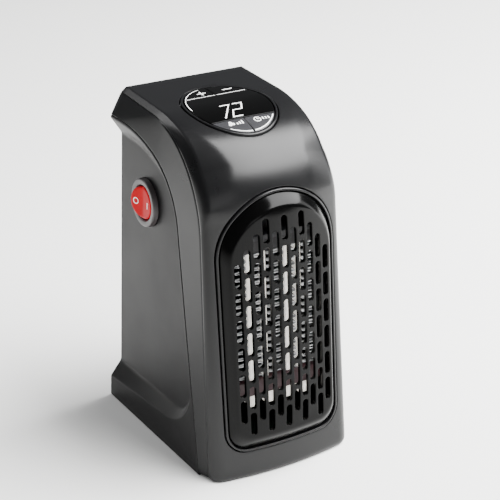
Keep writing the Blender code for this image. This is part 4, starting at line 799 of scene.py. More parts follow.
def drawn_metal(name, base, roughness, line):
    """A metal with fine lines along one way, their spacing in millimetres."""
    made, tree, shader = new_finish(name, base, {"Roughness": roughness, "Metallic": 1.0})
    where = varied(tree, shader, base, 0.06, 5, roughness, 0.05)
    stretch = add_node(
        tree, "ShaderNodeMapping", {"Scale": (1.0, 0.05, 1.0)}, {"Vector": where.outputs["Object"]}
    )
    lines = add_node(
        tree, "ShaderNodeTexNoise", {"Scale": per_metre(line), "Detail": 3.0},
        {"Vector": stretch.outputs["Vector"]},
    )
    raised(tree, shader, lines, 0.01, 0.3)
    return made, tree, shader


# The front shell


class HEATER_OT_front_shell(bpy.types.Operator):
    """Models the shell from the top down the front, with its two openings"""

    bl_idname = "heater.front_shell"
    bl_label = "Front shell"

    def execute(self, context):
        h = context.scene.heater_housing
        skin = Skin()
        # Places across: the crown to 1, the shoulder to 2 and the band to 3, denser at its edge.
        half = [i / 22 for i in range(23)]
        half += [1 + i / 14 for i in range(1, 15)]
        crease = len(half) - 1
        half += [2 + share for share in (0.03, 0.07, 0.2, 0.35, 0.5, 0.65, 0.8, 0.91)]
        half += [2 + share for share in (0.95, 0.97, 0.985, 0.995, 1.0)]
        across = [-share for share in reversed(half[1:])] + half
        centre = len(half) - 1
        # Stages along the rails, denser at the back edge, in the bend and at the base.
        edge_steps = (0.0, 0.06, 0.2, 0.4, 0.7, 1.0)
        stages = [h.lip * step / h.flat_run for step in edge_steps]
        stages += [mix(stages[-1], 1.0, i / 10) for i in range(1, 11)]
        stages += [1 + i / 20 for i in range(1, 21)]
        stages += [2 + i / 44 for i in range(1, 45)]
        fall = skin.along(skin.middle, 3.0)[1]
        low = 4 - h.base_rise / fall
        stages += [mix(3.0, low, i / 56) for i in range(1, 57)]
        stages += [4 - h.base_rise / fall * share for share in (0.75, 0.5, 0.3, 0.14, 0.05, 0.0)]

        def place(column, row):
            share = across[column]
            point = skin.section(stages[row], abs(share))
            return at(math.copysign(point.x, share), point.y, point.z)

        bm = bmesh.new()
        laid = laid_grid(bm, len(across) - 1, len(stages) - 1, place)
        outwards(bm, lambda face: -face.normal.y)
        normals = {key: vert.normal.copy() for key, vert in laid.items()}
        targets = self.inner_targets(h, skin, laid, across, stages, centre, crease, normals)
        moves = self.edge_moves(h, laid, across, stages, centre, crease, normals)
        thickened(bm, lambda vert: targets[vert])
        for vert, move in moves.items():
            vert.co += move
            vert.co.z = max(vert.co.z, -h.plug_height)
        shell = new_object("front_shell_skin", bm, "charcoal")
        # Both openings flare at the outside. The cut starts above the skin and ends below it.
        above, below = 0.004, 0.012
        loops = [
            draped(skin, window_outline(inset), offset)
            for inset, offset in flare(context.scene.heater_outlet.mouth, above, below)
        ]
        carved(shell, lofted(loops, close=False))
        loops = [
            [at(x, d, skin.top(x, d) + offset) for x, d in panel_outline(inset)]
            for inset, offset in flare(context.scene.heater_panel.mouth, above, below)
        ]
        carved(shell, lofted(loops, close=False))
        settled(shell, "charcoal", nodes=("front_shell",), crisp=40)
        return {"FINISHED"}

    def inner_targets(self, h, skin, laid, across, stages, centre, crease, normals):
        """Where the inner wall's points go: a wall's thickness in, eased at the rear shoulders."""
        targets = {}
        for row in range(len(stages)):
            ease = skin.along(skin.middle, stages[row])[2] / skin.square
            line = []
            for column in range(len(across)):
                place = laid[column, row].co
                normal = normals[column, row]
                if stages[row] <= 1:
                    normal = Vector((normal.x, 0, normal.z)).normalized()
                if abs(across[column]) > 2.9:
                    normal = Vector((math.copysign(1, across[column]), 0, 0))
                target = place - normal * h.wall
                if row == 0:
                    target.y = place.y
                if row == len(stages) - 1:
                    target.z = place.z
                target.z = max(target.z, -h.plug_height)
                line.append(target)
            for side in SIDES:
                first, last = centre + side * 22, centre + side * crease
                for i in range(1, 14):
                    flat = mix(line[first], line[last], i / 14)
                    line[first + side * i] = mix(flat, line[first + side * i], ease)
            for column, target in enumerate(line):
                targets[laid[column, row]] = target
        return targets

    def edge_moves(self, h, laid, across, stages, centre, crease, normals):
        """How the outer points move for the groove, the lips and the rounding at the base."""
        moves = {}
        rows = len(stages) - 1
        for (column, row), vert in laid.items():
            normal = normals[column, row]
            move = Vector()
            share = abs(across[column])
            seam = (vert.co - laid[0 if column < centre else len(across) - 1, row].co).length
            move -= normal * rounding(seam, h.lip)
            move -= normal * rounding((vert.co - laid[column, 0].co).length, h.lip)
            if abs(column - centre) == crease:
                fade = clamp(1.15 - row / rows)
                move -= normal * h.groove * fade
            height = vert.co.z + h.plug_height
            if height < h.base_rise:
                reach = 1 - height / h.base_rise
                level = Vector((normal.x, normal.y, 0)).normalized()
                move -= level * h.base_inset * (1 - math.sqrt(max(1 - reach ** 2, 0)))
            if move.length:
                moves[vert] = move
        return moves


def flare(radius, above, below):
    """Insets and offsets of a hole's wall: straight, rounded at the surface, straight down."""
    steps = [(-radius, above), (-radius, 0.0)]
    for i in range(1, 5):
        turn = math.pi / 2 * i / 4
        steps.append((radius * (math.sin(turn) - 1), radius * (math.cos(turn) - 1)))
    return steps + [(0.0, -below)]


# Outlines


def rounded_arch(half_width, bottom, top, corner, arch=64, side=44, turn=12, base=20):
    """A half-round top and two rounded lower corners, as (x, height) points."""
    springing = top - half_width
    points = arc((0.0, springing), half_width, 0, 180, arch)
    points += [(-half_width, mix(springing, bottom + corner, i / side)) for i in range(1, side)]
    points += arc((corner - half_width, bottom + corner), corner, 180, 270, turn)
    points += [
        (mix(corner - half_width, half_width - corner, i / base), bottom) for i in range(1, base)
    ]
    points += arc((half_width - corner, bottom + corner), corner, 270, 360, turn)
    points += [(half_width, mix(bottom + corner, springing, i / side)) for i in range(1, side)]
    return points


def window_outline(inset):
    o = bpy.context.scene.heater_outlet
    return rounded_arch(o.half_width - inset, o.bottom + inset, o.top - inset, o.corner - inset)


def panel_outline(inset, steps=96):
    """The control panel's oval as (x, depth) points."""
    p = bpy.context.scene.heater_panel
    points = []
    for i in range(steps):
        turn = 2 * math.pi * i / steps
        points.append((
            (p.half_width - inset) * math.cos(turn), p.middle - (p.half_depth - inset) * math.sin(turn)
        ))
    return points


def draped(skin, outline, offset):
    return [at(x, skin.front(x, z) + offset, z) for x, z in outline]


# The outlet


class HEATER_OT_outlet_ring(bpy.types.Operator):
    """Models the thin ring round the air outlet"""

    bl_idname = "heater.outlet_ring"
    bl_label = "Outlet ring"

    def execute(self, context):
        h, o = context.scene.heater_housing, context.scene.heater_outlet
        skin = Skin()
        near, far = h.gap + o.ring_line, h.gap + o.ring_width - o.ring_line
        section = softened(
            [(near, -o.ring_depth), (near, o.ring_proud), (far, o.ring_proud), (far, -o.ring_depth)],
            {1: 0.0005, 2: 0.0005},
        )
        bm = lofted([draped(skin, window_outline(inset), offset) for inset, offset in section])
        piece("outlet_ring_trim", bm, "charcoal", "charcoal", nodes=("outlet_ring",), crisp=50)
        return {"FINISHED"}


class HEATER_OT_outlet_grille(bpy.types.Operator):
    """Models the gloss black grille: a raised pillow with rows of slots"""

    bl_idname = "heater.outlet_grille"
    bl_label = "Outlet grille"

    def execute(self, context):
        h, o = context.scene.heater_housing, context.scene.heater_outlet
        skin = Skin()
        start = o.ring_width + 2 * h.gap
        plateau = rounded_arch(
            o.plateau_half_width, o.plateau_bottom, o.plateau_top, o.plateau_corner
        )
        loops = [
            draped(skin, window_outline(start + inset), offset)
            for inset, offset in ((0, -2 * o.wall), (0, -0.0006), (0.0001, -0.0002), (0.0004, 0))
        ]
        inner_edge = window_outline(start + 0.0004)
        for step in range(1, 15):
            share = step / 14
            rise = o.rise * math.sin(share * math.pi / 2) ** 1.1
            outline = [mix2(a, b, share) for a, b in zip(inner_edge, plateau)]
            loops.append(draped(skin, outline, rise))
        steps = 26
        for step in range(1, steps + 1):
            share = 1 - step / steps
            outline = [(x * share, mix(spine_height(o, z), z, share)) for x, z in plateau]
            loops.append(face_loop(skin, o, outline, 0))
        bm = lofted(loops, close=False, cap=False)
        outwards(bm, lambda face: -face.normal.y)

        def behind(vert):
            if vert.is_boundary:
                return vert.co + (vert.co - Vector((0, vert.co.y, -0.05))).normalized() * -0.0012
            return vert.co + Vector((0, 1, 0)) * o.wall / max(-vert.normal.y, 0.5)

        thickened(bm, behind)
        grille = new_object("outlet_grille_face", bm, "black_gloss")
        slots = bmesh.new()
        for column, top in slot_places(o):
            x = column * o.column_pitch
            loops = [
                face_loop(skin, o, stadium(x, top, o.slot_width, o.slot_length, inset), offset)
                for inset, offset in flare(o.slot_edge, 0.002, 0.006)
            ]
            slot = lofted(loops, close=False)
            mesh = bpy.data.meshes.new("slot")
            slot.to_mesh(mesh)
            slot.free()
            slots.from_mesh(mesh)
            bpy.data.meshes.remove(mesh)
        carved(grille, slots)
        settled(grille, "black_gloss", nodes=("outlet_grille",), crisp=46)
        return {"FINISHED"}


def spine_height(o, height):
    """The nearest height on the slotted face's spine, between its two round ends."""
    spine = o.plateau_top - o.plateau_half_width
    return clamp(height, o.plateau_top + o.plateau_bottom - spine, spine)


def face_loop(skin, o, outline, offset):
    """An outline laid on the slotted face, which stands out more in its middle."""
    loop = []
    for x, z in outline:
        share = clamp(math.hypot(x, z - spine_height(o, z)) / o.plateau_half_width)
        rise = o.rise + o.crown * (1 - (x / o.plateau_half_width) ** 2) * (1 - share ** 2)
        loop.append(at(x, skin.front(x, z) + rise + offset, z))
    return loop


def slot_places(o):
    """Every slot: its column, counted from the middle, and its top."""
    starts = (0.0, 0.5, 0.0, 0.5, 1.0, 1.5)
    for column in range(-5, 6):
        start = starts[abs(column)]
        for row in range(o.rows - math.ceil(start)):
            yield column, o.slot_top - (start + row) * o.slot_pitch


def stadium(x, top, width, tall, inset, steps=8):
    radius = width / 2 - inset
    points = arc((x, top - width / 2), radius, 0, 180, steps)
    return points + arc((x, top - tall + width / 2), radius, 180, 360, steps)


# The side panels


class HEATER_OT_side_panels(bpy.types.Operator):
    """Models the two side panels with their hand recesses"""

    bl_idname = "heater.side_panels"
    bl_label = "Side panels"

    def execute(self, context):
        for side, name in ((-1, "left"), (1, "right")):
            panel = self.panel(context, "side_panel_" + name + "_moulding", side)
            if side < 0:
                hole = context.scene.heater_switch.barrel_radius + context.scene.heater_housing.gap
                through = [(0, 0.006), (hole, 0.006), (hole, -0.006), (0, -0.006)]
                carved(panel, turned(through, switch_frame()))
            settled(panel, "charcoal", nodes=("side_panel_" + name,), crisp=38)
            self.tongue(context, "side_panel_" + name + "_tongue", side)
        return {"FINISHED"}

    def tongue(self, context, name, side):
        """The lip behind the seam that keeps the light in."""
        h = context.scene.heater_housing
        skin = Skin()
        section = ((-0.0012, 0.0), (0.0020, 0.0), (0.0020, h.tongue), (-0.0012, h.tongue))
        loops = []
        for i in range(61):
            depth, height, heading = skin.along(skin.seam, mix(0.15, 3.97, i / 60))
            loop = []
            for out, deep in section:
                d, z = depth + out * math.sin(heading), height + out * math.cos(heading)
                loop.append(at(side * (skin.side(depth, height) - h.wall - h.gap - deep), d, z))
            loops.append(loop)
        piece(name, lofted(loops, close=False), "panel", "charcoal")

    def seam_line(self, h, skin, rear, front):
        """Points inside the seam, from the back down to where the recess's corner starts."""
        points = []
        end = 4.0
        while skin.along(skin.seam, end)[1] < h.skirt_front + h.corner:
            end -= 0.002
        steps = 90
        for i in range(steps + 1):
            depth, height, heading = skin.along(skin.seam, mix(0.0, end, i / steps))
            step = h.gap + mix(rear, front, heading / (math.pi / 2 - h.seam_lean))
            points.append((depth - step * math.sin(heading), height - step * math.cos(heading)))
        points[0] = (0.0, points[0][1])
        return points

    def chain(self, h, skin, rear, front, lift):
        """An open line round the recess, from the top at the back to the bottom at the back."""
        points = self.seam_line(h, skin, rear, front)
        low, bottom = h.skirt_front + lift, h.skirt_rear + lift
        start = points[-1]
        middle = start[0] - h.corner + lift
        for i in range(1, 25):
            turn = math.pi / 2 * i / 24
            points.append((
                middle + (start[0] - middle) * math.cos(turn), mix(start[1], low, math.sin(turn))
            ))
        points += [(mix(middle, 0.0, i / 30), mix(low, bottom, i / 30)) for i in range(1, 31)]
        return points

    def rim(self, h, skin, inset):
        """The panel's own outline: the seam, then the base's edge back to the rear."""
        points = self.seam_line(h, skin, inset, inset)
        foot = skin.along(skin.seam, 4.0)[0] - (h.gap + inset) * math.cos(h.seam_lean)
        start = points[-1]
        slope = (foot - start[0]) / start[1]
        for i in range(1, 25):
            share = i / 24
            height = mix(start[1], 0.0, clamp(share / 0.75))
            front = start[0] + (start[1] - height) * slope
            back = clamp((share - 0.75) / 0.25) * 0.012
            points.append((front - back, max(height, inset)))
        here = points[-1][0]
        points += [(mix(here, 0.0, i / 30), inset) for i in range(1, 31)]
        return points

    def panel(self, context, name, side):
        h = context.scene.heater_housing
        skin = Skin()
        floor_line = self.chain(h, skin, h.land + h.rim_rear, h.land + h.rim_front, h.ramp)
        land_line = self.chain(h, skin, h.land, h.land, 0.0)
        # The floor's rows spread from its back edge, each as far along it as its share of the line.
        total = [0.0]
        for first, second in zip(floor_line, floor_line[1:]):
            total.append(total[-1] + abs(second[1] - first[1]) + 0.15 * abs(second[0] - first[0]))
        top, bottom = floor_line[0][1], floor_line[-1][1]
        back = [(0.0, mix(top, bottom, value / total[-1])) for value in total]
        rows = []
        for i in range(25):
            line = [mix2(a, b, i / 24) for a, b in zip(back, floor_line)]
            rows.append((line, "floor", 0.0))
        for i in range(1, 15):
            line = [mix2(a, b, i / 14) for a, b in zip(floor_line, land_line)]
            rows.append((line, "ramp", ramp_rise(i / 14)))
        for inset in (0.0005, 0.0003, 0.00016, 0.00006, 0.0):
            rows.append((self.rim(h, skin, inset), "land", rounding(inset, 0.0005)))

        def width(depth, height, kind, value):
            side_x, floor_x = skin.side(depth, height), skin.floor(depth, height)
            if kind == "floor":
                return floor_x
            if kind == "ramp":
                return mix(floor_x, side_x, value)
            return side_x - value

        def place(column, row):
            line, kind, value = rows[row]
            depth, height = line[column]
            return at(side * width(depth, height, kind, value), depth, height)

        bm = bmesh.new()
        laid_grid(bm, len(back) - 1, len(rows) - 1, place)
        outwards(bm, lambda face: face.normal.x * side)

        def behind(vert):
            depth = -vert.co.y - h.setback
            height = vert.co.z + h.plug_height
            inside = skin.floor(depth, height) - h.wall
            return Vector((side * inside, vert.co.y, vert.co.z))

        thickened(bm, behind)
        return new_object(name, bm, "panel")


def mix2(first, second, share):
    return (mix(first[0], second[0], share), mix(first[1], second[1], share))


def ramp_rise(share):
    """The recess wall's rise: a soft foot, a straight slope and a firm edge."""
    foot = 0.22
    edge = 0.08
    slope = 1 / (1 - foot / 2 - edge / 2)
    if share < foot:
        return slope * share ** 2 / (2 * foot)
    if share > 1 - edge:
        rest = 1 - share
        return 1 - slope * rest ** 2 / (2 * edge)
    return slope * (share - foot / 2)


# The power switch


def switch_frame():
    """Local +Z points out of the left recess floor and local +Y up along it."""
    h, s = bpy.context.scene.heater_housing, bpy.context.scene.heater_switch
    out = Vector((-1, -math.tan(h.floor_toe), math.tan(h.side_lean))).normalized()
    up = (Vector((0, 0, 1)) - out * out.z).normalized()
    across = up.cross(out)
    turn = Matrix((across, up, out)).transposed().to_4x4()
    x = Skin().floor(s.depth, s.height)
    return Matrix.Translation(at(-x, s.depth, s.height)) @ turn


class HEATER_OT_power_switch(bpy.types.Operator):
    """Models the round switch's collar, its red rocker and its marks"""

    bl_idname = "heater.power_switch"
    bl_label = "Power switch"

    def execute(self, context):
        h, s = context.scene.heater_housing, context.scene.heater_switch
        face = h.gap + s.flange
        floor = face - s.cavity_depth
        profile = softened([
            (0, floor), (s.cavity_radius, floor), (s.cavity_radius, face - 0.0012),
            (s.cavity_radius + 0.0006, face - 0.0002), (s.flange_radius - 0.0004, face),
            (s.flange_radius, h.gap), (s.barrel_radius, h.gap),
            (s.barrel_radius, -s.barrel_length), (0, -s.barrel_length),
        ], {3: 0.0004, 4: 0.0006, 7: 0.0008})
        collar = turned(profile, switch_frame(), 80)
        piece("switch_collar", collar, "collar", "black_matt", nodes=("switch_housing",))
        rest = switch_frame() @ Matrix.Translation((0, 0, face - s.pivot))
        rest = rest @ Matrix.Rotation(s.tilt, 4, "Y")
        self.rocker(s, rest)
        self.marks(s, rest)
        return {"FINISHED"}

    def valley(self, s, x):
        """The rocker's face: two slopes that meet in a soft valley."""
        dip = s.rocker_crown - s.rocker_radius * math.tan(s.tilt)
        return dip + math.hypot(x, VALLEY_SOFTNESS) * math.tan(s.tilt)

    def rocker(self, s, rest):
        """A round rocker with two sloping faces over a round skirt."""
        radius = s.rocker_radius
        rings = [0.0] + [radius * 0.93 * i / 12 for i in range(1, 13)]
        rings += [radius * share for share in (0.955, 0.975, 0.99, 0.998, 1.0)]
        turns = [2 * math.pi * i / 72 for i in range(72)]
        points = []
        for ring in rings:
            fall = rounding(radius - ring, 0.0007)
            points.append([
                Vector((
                    ring * math.cos(turn), ring * math.sin(turn),
                    self.valley(s, ring * math.cos(turn)) - fall,
                )) for turn in turns
            ])
        for depth in (0.25, 0.6, 1.0):
            level = -s.rocker_skirt * depth
            ring = math.sqrt(radius ** 2 - level ** 2)
            points.append([
                Vector((ring * math.cos(turn), ring * math.sin(turn), level)) for turn in turns
            ])
        points.append([Vector((0, 0, -s.rocker_skirt)) for _ in turns])
        bm = lofted(points, close=False, cap=False)
        bmesh.ops.transform(bm, matrix=rest, verts=bm.verts)
        piece("switch_rocker", bm, "red_lens", "red_lens", "rocker", ("power_rocker",), 50)

    def marks(self, s, rest):
        """The circle for off on the raised face and the bar for on on the pressed one."""
        def on_face(x, y):
            return rest @ Vector((x, y, self.valley(s, x) + 0.00004))

        bm = bmesh.new()
        flat_ring(bm, (-0.0042, 0.0), 0.0014, 0.00035, on_face)
        flat_bar(bm, (0.0042, 0.0), 0.00045, 0.003, on_face)
        piece("switch_marks", bm, "ink", "red_lens", "rocker")


def flat_ring(bm, centre, radius, width, place, start=0, end=360, steps=36):
    """A flat ring or arc of a width, laid on a surface."""
    def point(column, row):
        turn = math.radians(mix(start, end, column / steps))
        reach = radius + width * (row - 0.5)
        return place(centre[0] + reach * math.cos(turn), centre[1] + reach * math.sin(turn))
    laid = laid_grid(bm, steps, 1, point)
    bmesh.ops.remove_doubles(bm, verts=list(laid.values()), dist=MERGE)


def flat_bar(bm, centre, width, tall, place, turn=0.0, steps=8):
    """A flat bar laid on a surface, turned by degrees."""
    spin = math.radians(turn)

    def point(column, row):
        x = width * (row - 0.5)
        y = tall * (column / steps - 0.5)
        return place(
            centre[0] + x * math.cos(spin) - y * math.sin(spin),
            centre[1] + x * math.sin(spin) + y * math.cos(spin),
        )
    laid_grid(bm, steps, 1, point)


# The control panel


class HEATER_OT_control_panel(bpy.types.Operator):
    """Models the panel's ring, window, keys and marks"""

    bl_idname = "heater.control_panel"
    bl_label = "Control panel"

    def execute(self, context):
        h, p = context.scene.heater_housing, context.scene.heater_panel
        skin = Skin()
        near, far = h.gap + p.ring_line, h.gap + p.ring_width - p.ring_line
        loops = []
        # The ring's section with rounded upper edges: it stands on the board, where offset is None.
        proud, rim, cut = p.ring_proud, 0.0004, 0.0001
        for inset, offset in (
            (near, None), (near, proud - rim), (near + cut, proud - cut), (near + rim, proud),
            (far - rim, proud), (far - cut, proud - cut), (far, proud - rim), (far, None),
        ):
            loops.append([
                at(x, d, p.board_top + h.gap if offset is None else skin.top(x, d) + offset)
                for x, d in panel_outline(inset)
            ])
        ring = lofted(loops)
        piece("display_ring_trim", ring, "charcoal", "charcoal", nodes=("display_ring",), crisp=50)
        # Limits: the plate's rear and front depth and its left and right edge.
        rear, front, half = p.rear_line, p.front_line, h.gap / 2
        for name, finish, slot, body, node, limits in (
            ("display_window", "black_gloss", "black_gloss", "housing", "display_lens",
             (rear + half, front - half, None, None)),
            ("key_plus", "black_gloss", "key_grey", "plus", "plus_key",
             (None, rear - half, None, -half)),
            ("key_minus", "black_gloss", "key_grey", "minus", "minus_key",
             (None, rear - half, half, None)),
            ("key_speed", "key_grey", "key_grey", "speed", "speed_key",
             (front + half, None, None, -half)),
            ("key_timer", "key_grey", "key_grey", "timer", "timer_key",
             (front + half, None, half, None)),
        ):
            piece(name, self.plate(skin, *limits), finish, slot, body, (node,))
        self.marks(skin, p)
        return {"FINISHED"}

    def plate(self, skin, rear, front, left, right):
        """A thin plate cut from the oval by straight lines, rounded and laid on the top."""
        h, p = bpy.context.scene.heater_housing, bpy.context.scene.heater_panel
        bm = bmesh.new()
        inset = p.ring_width + 2 * h.gap
        bmesh.ops.create_circle(bm, cap_ends=True, segments=96, radius=1.0)
        bmesh.ops.scale(bm, vec=(p.half_width - inset, p.half_depth - inset, 1), verts=bm.verts)
        bmesh.ops.translate(bm, vec=(0, -p.middle, 0), verts=bm.verts)
        for limit, normal in (
            (rear, (0, 1, 0)), (front, (0, -1, 0)), (left, (-1, 0, 0)), (right, (1, 0, 0))
        ):
            if limit is None:
                continue
            place = (0, -limit, 0) if normal[1] else (limit, 0, 0)
            bmesh.ops.bisect_plane(
                bm, geom=bm.verts[:] + bm.edges[:] + bm.faces[:], plane_co=place, plane_no=normal,
                clear_outer=True,
            )
        extruded = bmesh.ops.extrude_face_region(bm, geom=bm.faces[:])["geom"]
        upper = [item for item in extruded if isinstance(item, bmesh.types.BMVert)]
        bmesh.ops.translate(bm, vec=(0, 0, p.key_thickness), verts=upper)
        bmesh.ops.recalc_face_normals(bm, faces=bm.faces)
        edges = [
            edge for edge in bm.edges
            if all(vert.co.z > p.key_thickness / 2 for vert in edge.verts)
        ]
        bevelled(bm, edges, p.key_round, 3)
        # Cuts one millimetre apart, so that the plate can follow the top's curves.
        for i in range(1, 60):
            for place, normal in (
                ((0, -0.020 - 0.001 * i, 0), (0, 1, 0)), ((-0.03 + 0.001 * i, 0, 0), (1, 0, 0))
            ):
                bmesh.ops.bisect_plane(
                    bm, geom=bm.verts[:] + bm.edges[:] + bm.faces[:], plane_co=place, plane_no=normal
                )
        for vert in bm.verts:
            rest = vert.co.z - p.key_thickness
            vert.co.z = skin.top(vert.co.x, -vert.co.y) + p.key_proud + rest
        shift = Vector((0, -h.setback, -h.plug_height))
        bmesh.ops.translate(bm, vec=shift, verts=bm.verts)
        return bm

    def marks(self, skin, p):
        """The printed marks: plus, minus, lit digits, a fan, a clock and fine lines."""
        lift = p.key_proud + p.print_lift

        def laid(x, depth):
            return at(x, depth, skin.top(x, depth) + lift)

        # The arcs run inside the ring.
        inset = p.ring_width + 0.0013
        across, deep = p.half_width - inset, p.half_depth - inset

        def oval_line(bm, start, end, width=0.0003):
            def point(column, row):
                turn = math.radians(mix(start, end, column / 40))
                reach = width * (row - 0.5)
                return laid(
                    (across + reach) * math.cos(turn), p.middle - (deep + reach) * math.sin(turn)
                )
            laid_grid(bm, 40, 1, point)

        # Piece, body, ends of the line behind the window, turns of its arc, and the sign's bars,
        # each with its place, length and turn.
        rear = p.rear_line - 0.0006
        for name, body, line, arc_turns, bars in (
            ("mark_plus", "plus", (-0.0143, -0.0004), (103, 146),
             ((-0.0048, 0.0263, 0.0044, 90), (-0.0048, 0.0263, 0.0044, 0))),
            ("mark_minus", "minus", (0.0006, 0.0150), None, ((0.0082, 0.0263, 0.0048, 90),)),
        ):
            bm = bmesh.new()
            flat_bar(bm, (sum(line) / 2, rear), 0.0003, line[1] - line[0], laid, 90, 20)
            if arc_turns:
                oval_line(bm, *arc_turns)
            for x, depth, long, turn in bars:
                flat_bar(bm, (x, depth), 0.0006, long, laid, turn)
            self.printed(name, bm, "key_grey", body)
        bm = bmesh.new()
        oval_line(bm, 238, 268, 0.00035)
        self.fan_icon(bm, laid, (-0.0076, 0.0600), 0.0016)
        for step in range(3):
            tall = 0.0011 + 0.0006 * step
            flat_bar(bm, (-0.0048 + 0.0013 * step, 0.0611 - tall / 2), 0.0006, tall, laid)
        self.printed("mark_speed", bm, "key_grey", "speed")
        bm = bmesh.new()
        oval_line(bm, 272, 320, 0.00045)
        self.clock_icon(bm, laid, (0.0052, 0.0601), 0.0015)
        for step in range(3):
            flat_bar(bm, (0.0080 + 0.0014 * step, 0.0600), 0.0006, 0.0016, laid)
        self.printed("mark_timer", bm, "key_grey", "timer")
        bm = bmesh.new()
        for digit, side in (("7", -1), ("2", 1)):
            self.digit(bm, laid, digit, p.digit_left + side * p.digit_pitch / 2, p)
        oval_line(bm, 148, 180)
        self.printed("lit_digits", bm, "black_gloss", "housing")

    def printed(self, name, bm, slot, body):
        bmesh.ops.recalc_face_normals(bm, faces=bm.faces)
        piece(name, bm, "ink", slot, body)

    def digit(self, bm, laid, digit, x, p):
        """A digit of straight lit strokes, leaning so that it stands upright to the user."""
        w, t, s = p.digit_width, p.digit_height, p.stroke
        strokes = {
            "a": (0, -t / 2, 90, w), "g": (0, 0, 90, w), "d": (0, t / 2, 90, w),
            "b": (w / 2, -t / 4, 0, t / 2), "c": (w / 2, t / 4, 0, t / 2),
            "e": (-w / 2, t / 4, 0, t / 2), "f": (-w / 2, -t / 4, 0, t / 2),
        }

        def leaning(across, depth):
            return laid(across - (depth - p.digit_depth) * math.tan(p.digit_slant), depth)

        for key in {"7": "a", "2": "abged"}[digit]:
            dx, dy, turn, long = strokes[key]
            flat_bar(bm, (x + dx, p.digit_depth + dy), s, long + s * 0.6, leaning, turn)
        if digit == "7":
            drift = math.atan(0.45 * w / t)
            flat_bar(
                bm, (x + 0.275 * w, p.digit_depth), s, t / math.cos(drift), leaning,
                math.degrees(drift),
            )

    def fan_icon(self, bm, laid, centre, radius):
        for i in range(3):
            turn, reach = math.radians(120 * i + 20), radius * 0.55
            middle = (centre[0] + reach * math.cos(turn), centre[1] + reach * math.sin(turn))
            flat_ring(bm, middle, radius * 0.32, radius * 0.3, laid, steps=14)
        flat_ring(bm, centre, radius * 0.12, radius * 0.2, laid, steps=12)

    def clock_icon(self, bm, laid, centre, radius):
        flat_ring(bm, centre, radius, 0.00035, laid, steps=28)
        flat_bar(bm, (centre[0], centre[1] - radius * 0.3), 0.00035, radius * 0.7, laid)
        flat_bar(bm, (centre[0] + radius * 0.25, centre[1]), 0.00035, radius * 0.55, laid, 90)


# The heating element


class HEATER_OT_element(bpy.types.Operator):
    """Models the ceramic bars, the folded fins and the holders behind the grille"""

    bl_idname = "heater.element"
    bl_label = "Heating element"

    def execute(self, context):
        e = context.scene.heater_element
        rear = e.front - e.depth
        walls = [-e.half_width]
        for number, (left, right) in enumerate(BARS, 1):
            walls += [left, right]
            name = "ceramic_bar_" + str(number)
            bar = rounded_box(at(left, e.front, e.bottom), at(right, rear, e.top), 0.0004)
            self.leant(e, name + "_fired", bar, "ceramic", nodes=(name,))
            middle, half = FEET[number - 1], e.foot_width / 2
            foot = rounded_box(
                at(middle - half, e.front + 0.0004, e.foot_low),
                at(middle + half, e.front - e.foot_depth, e.holder_low + 0.001), 0.0004,
            )
            self.leant(e, "ceramic_foot_" + str(number), foot, "ceramic")
        walls.append(e.half_width)
        for number in range(len(walls) // 2):
            left, right = walls[2 * number:2 * number + 2]
            self.fins(e, "fin_pack_" + str(number + 1), left + 0.0003, right - 0.0003)
        for name, low, high, finish in (
            ("holder_bottom", e.holder_low, e.bottom + e.holder_bite, "phenolic"),
            ("holder_top", e.top - e.holder_bite, e.holder_high, "holder_black"),
        ):
            holder = rounded_box(
                at(-e.holder_half_width, e.front + e.holder_rim, low),
                at(e.holder_half_width, rear - e.holder_rim, high), 0.0006,
            )
            self.leant(e, name + "_moulding", holder, finish, nodes=(name,))
        return {"FINISHED"}

    def leant(self, e, name, bm, finish, slot="ceramic", **rest):
        """The piece, leaning back like the grille in front of it."""
        middle = at(0, 0, (e.bottom + e.top) / 2).z
        for vert in bm.verts:
            vert.co.y += (vert.co.z - middle) * math.tan(e.lean)
        piece(name, bm, finish, slot, **rest)

    def fins(self, e, name, left, right):
        """A strip folded left and right all the way up."""
        folds = int((e.top - e.bottom) / e.fin_pitch)
        steps = 8
        half = (right - left - e.fin_sheet) / 2
        low, high = e.bottom + e.fin_sheet, e.top - e.fin_sheet

        def place(column, row):
            share = column / (folds * steps)
            wave = clamp(2.4 * math.sin((share * folds - 0.5) * math.pi), -1.0, 1.0)
            depth = mix(e.front - e.depth + 0.0002, e.front - 0.0002, row / 4)
            return at((left + right) / 2 + half * wave, depth, mix(low, high, share))

        bm = bmesh.new()
        laid_grid(bm, folds * steps, 4, place)
        bmesh.ops.recalc_face_normals(bm, faces=bm.faces)
        bmesh.ops.solidify(bm, geom=bm.faces[:], thickness=e.fin_sheet)
        bmesh.ops.recalc_face_normals(bm, faces=bm.faces)
        # The share towards the front, which the aluminium finish turns into painted shade behind the
        # front edge.
        front = bm.verts.layers.float.new("front")
        for vert in bm.verts:
            vert[front] = clamp((at(0, e.front, 0).y - vert.co.y) / e.depth + 1)
        self.leant(e, name + "_folded", bm, "aluminium", "aluminium", nodes=(name,), crisp=60)


# The back


def facing_back(x, depth, height):
    """Local +Z points into the housing from its back."""
    return Matrix.Translation(at(x, depth, height)) @ Matrix.Rotation(math.pi / 2, 4, "X")


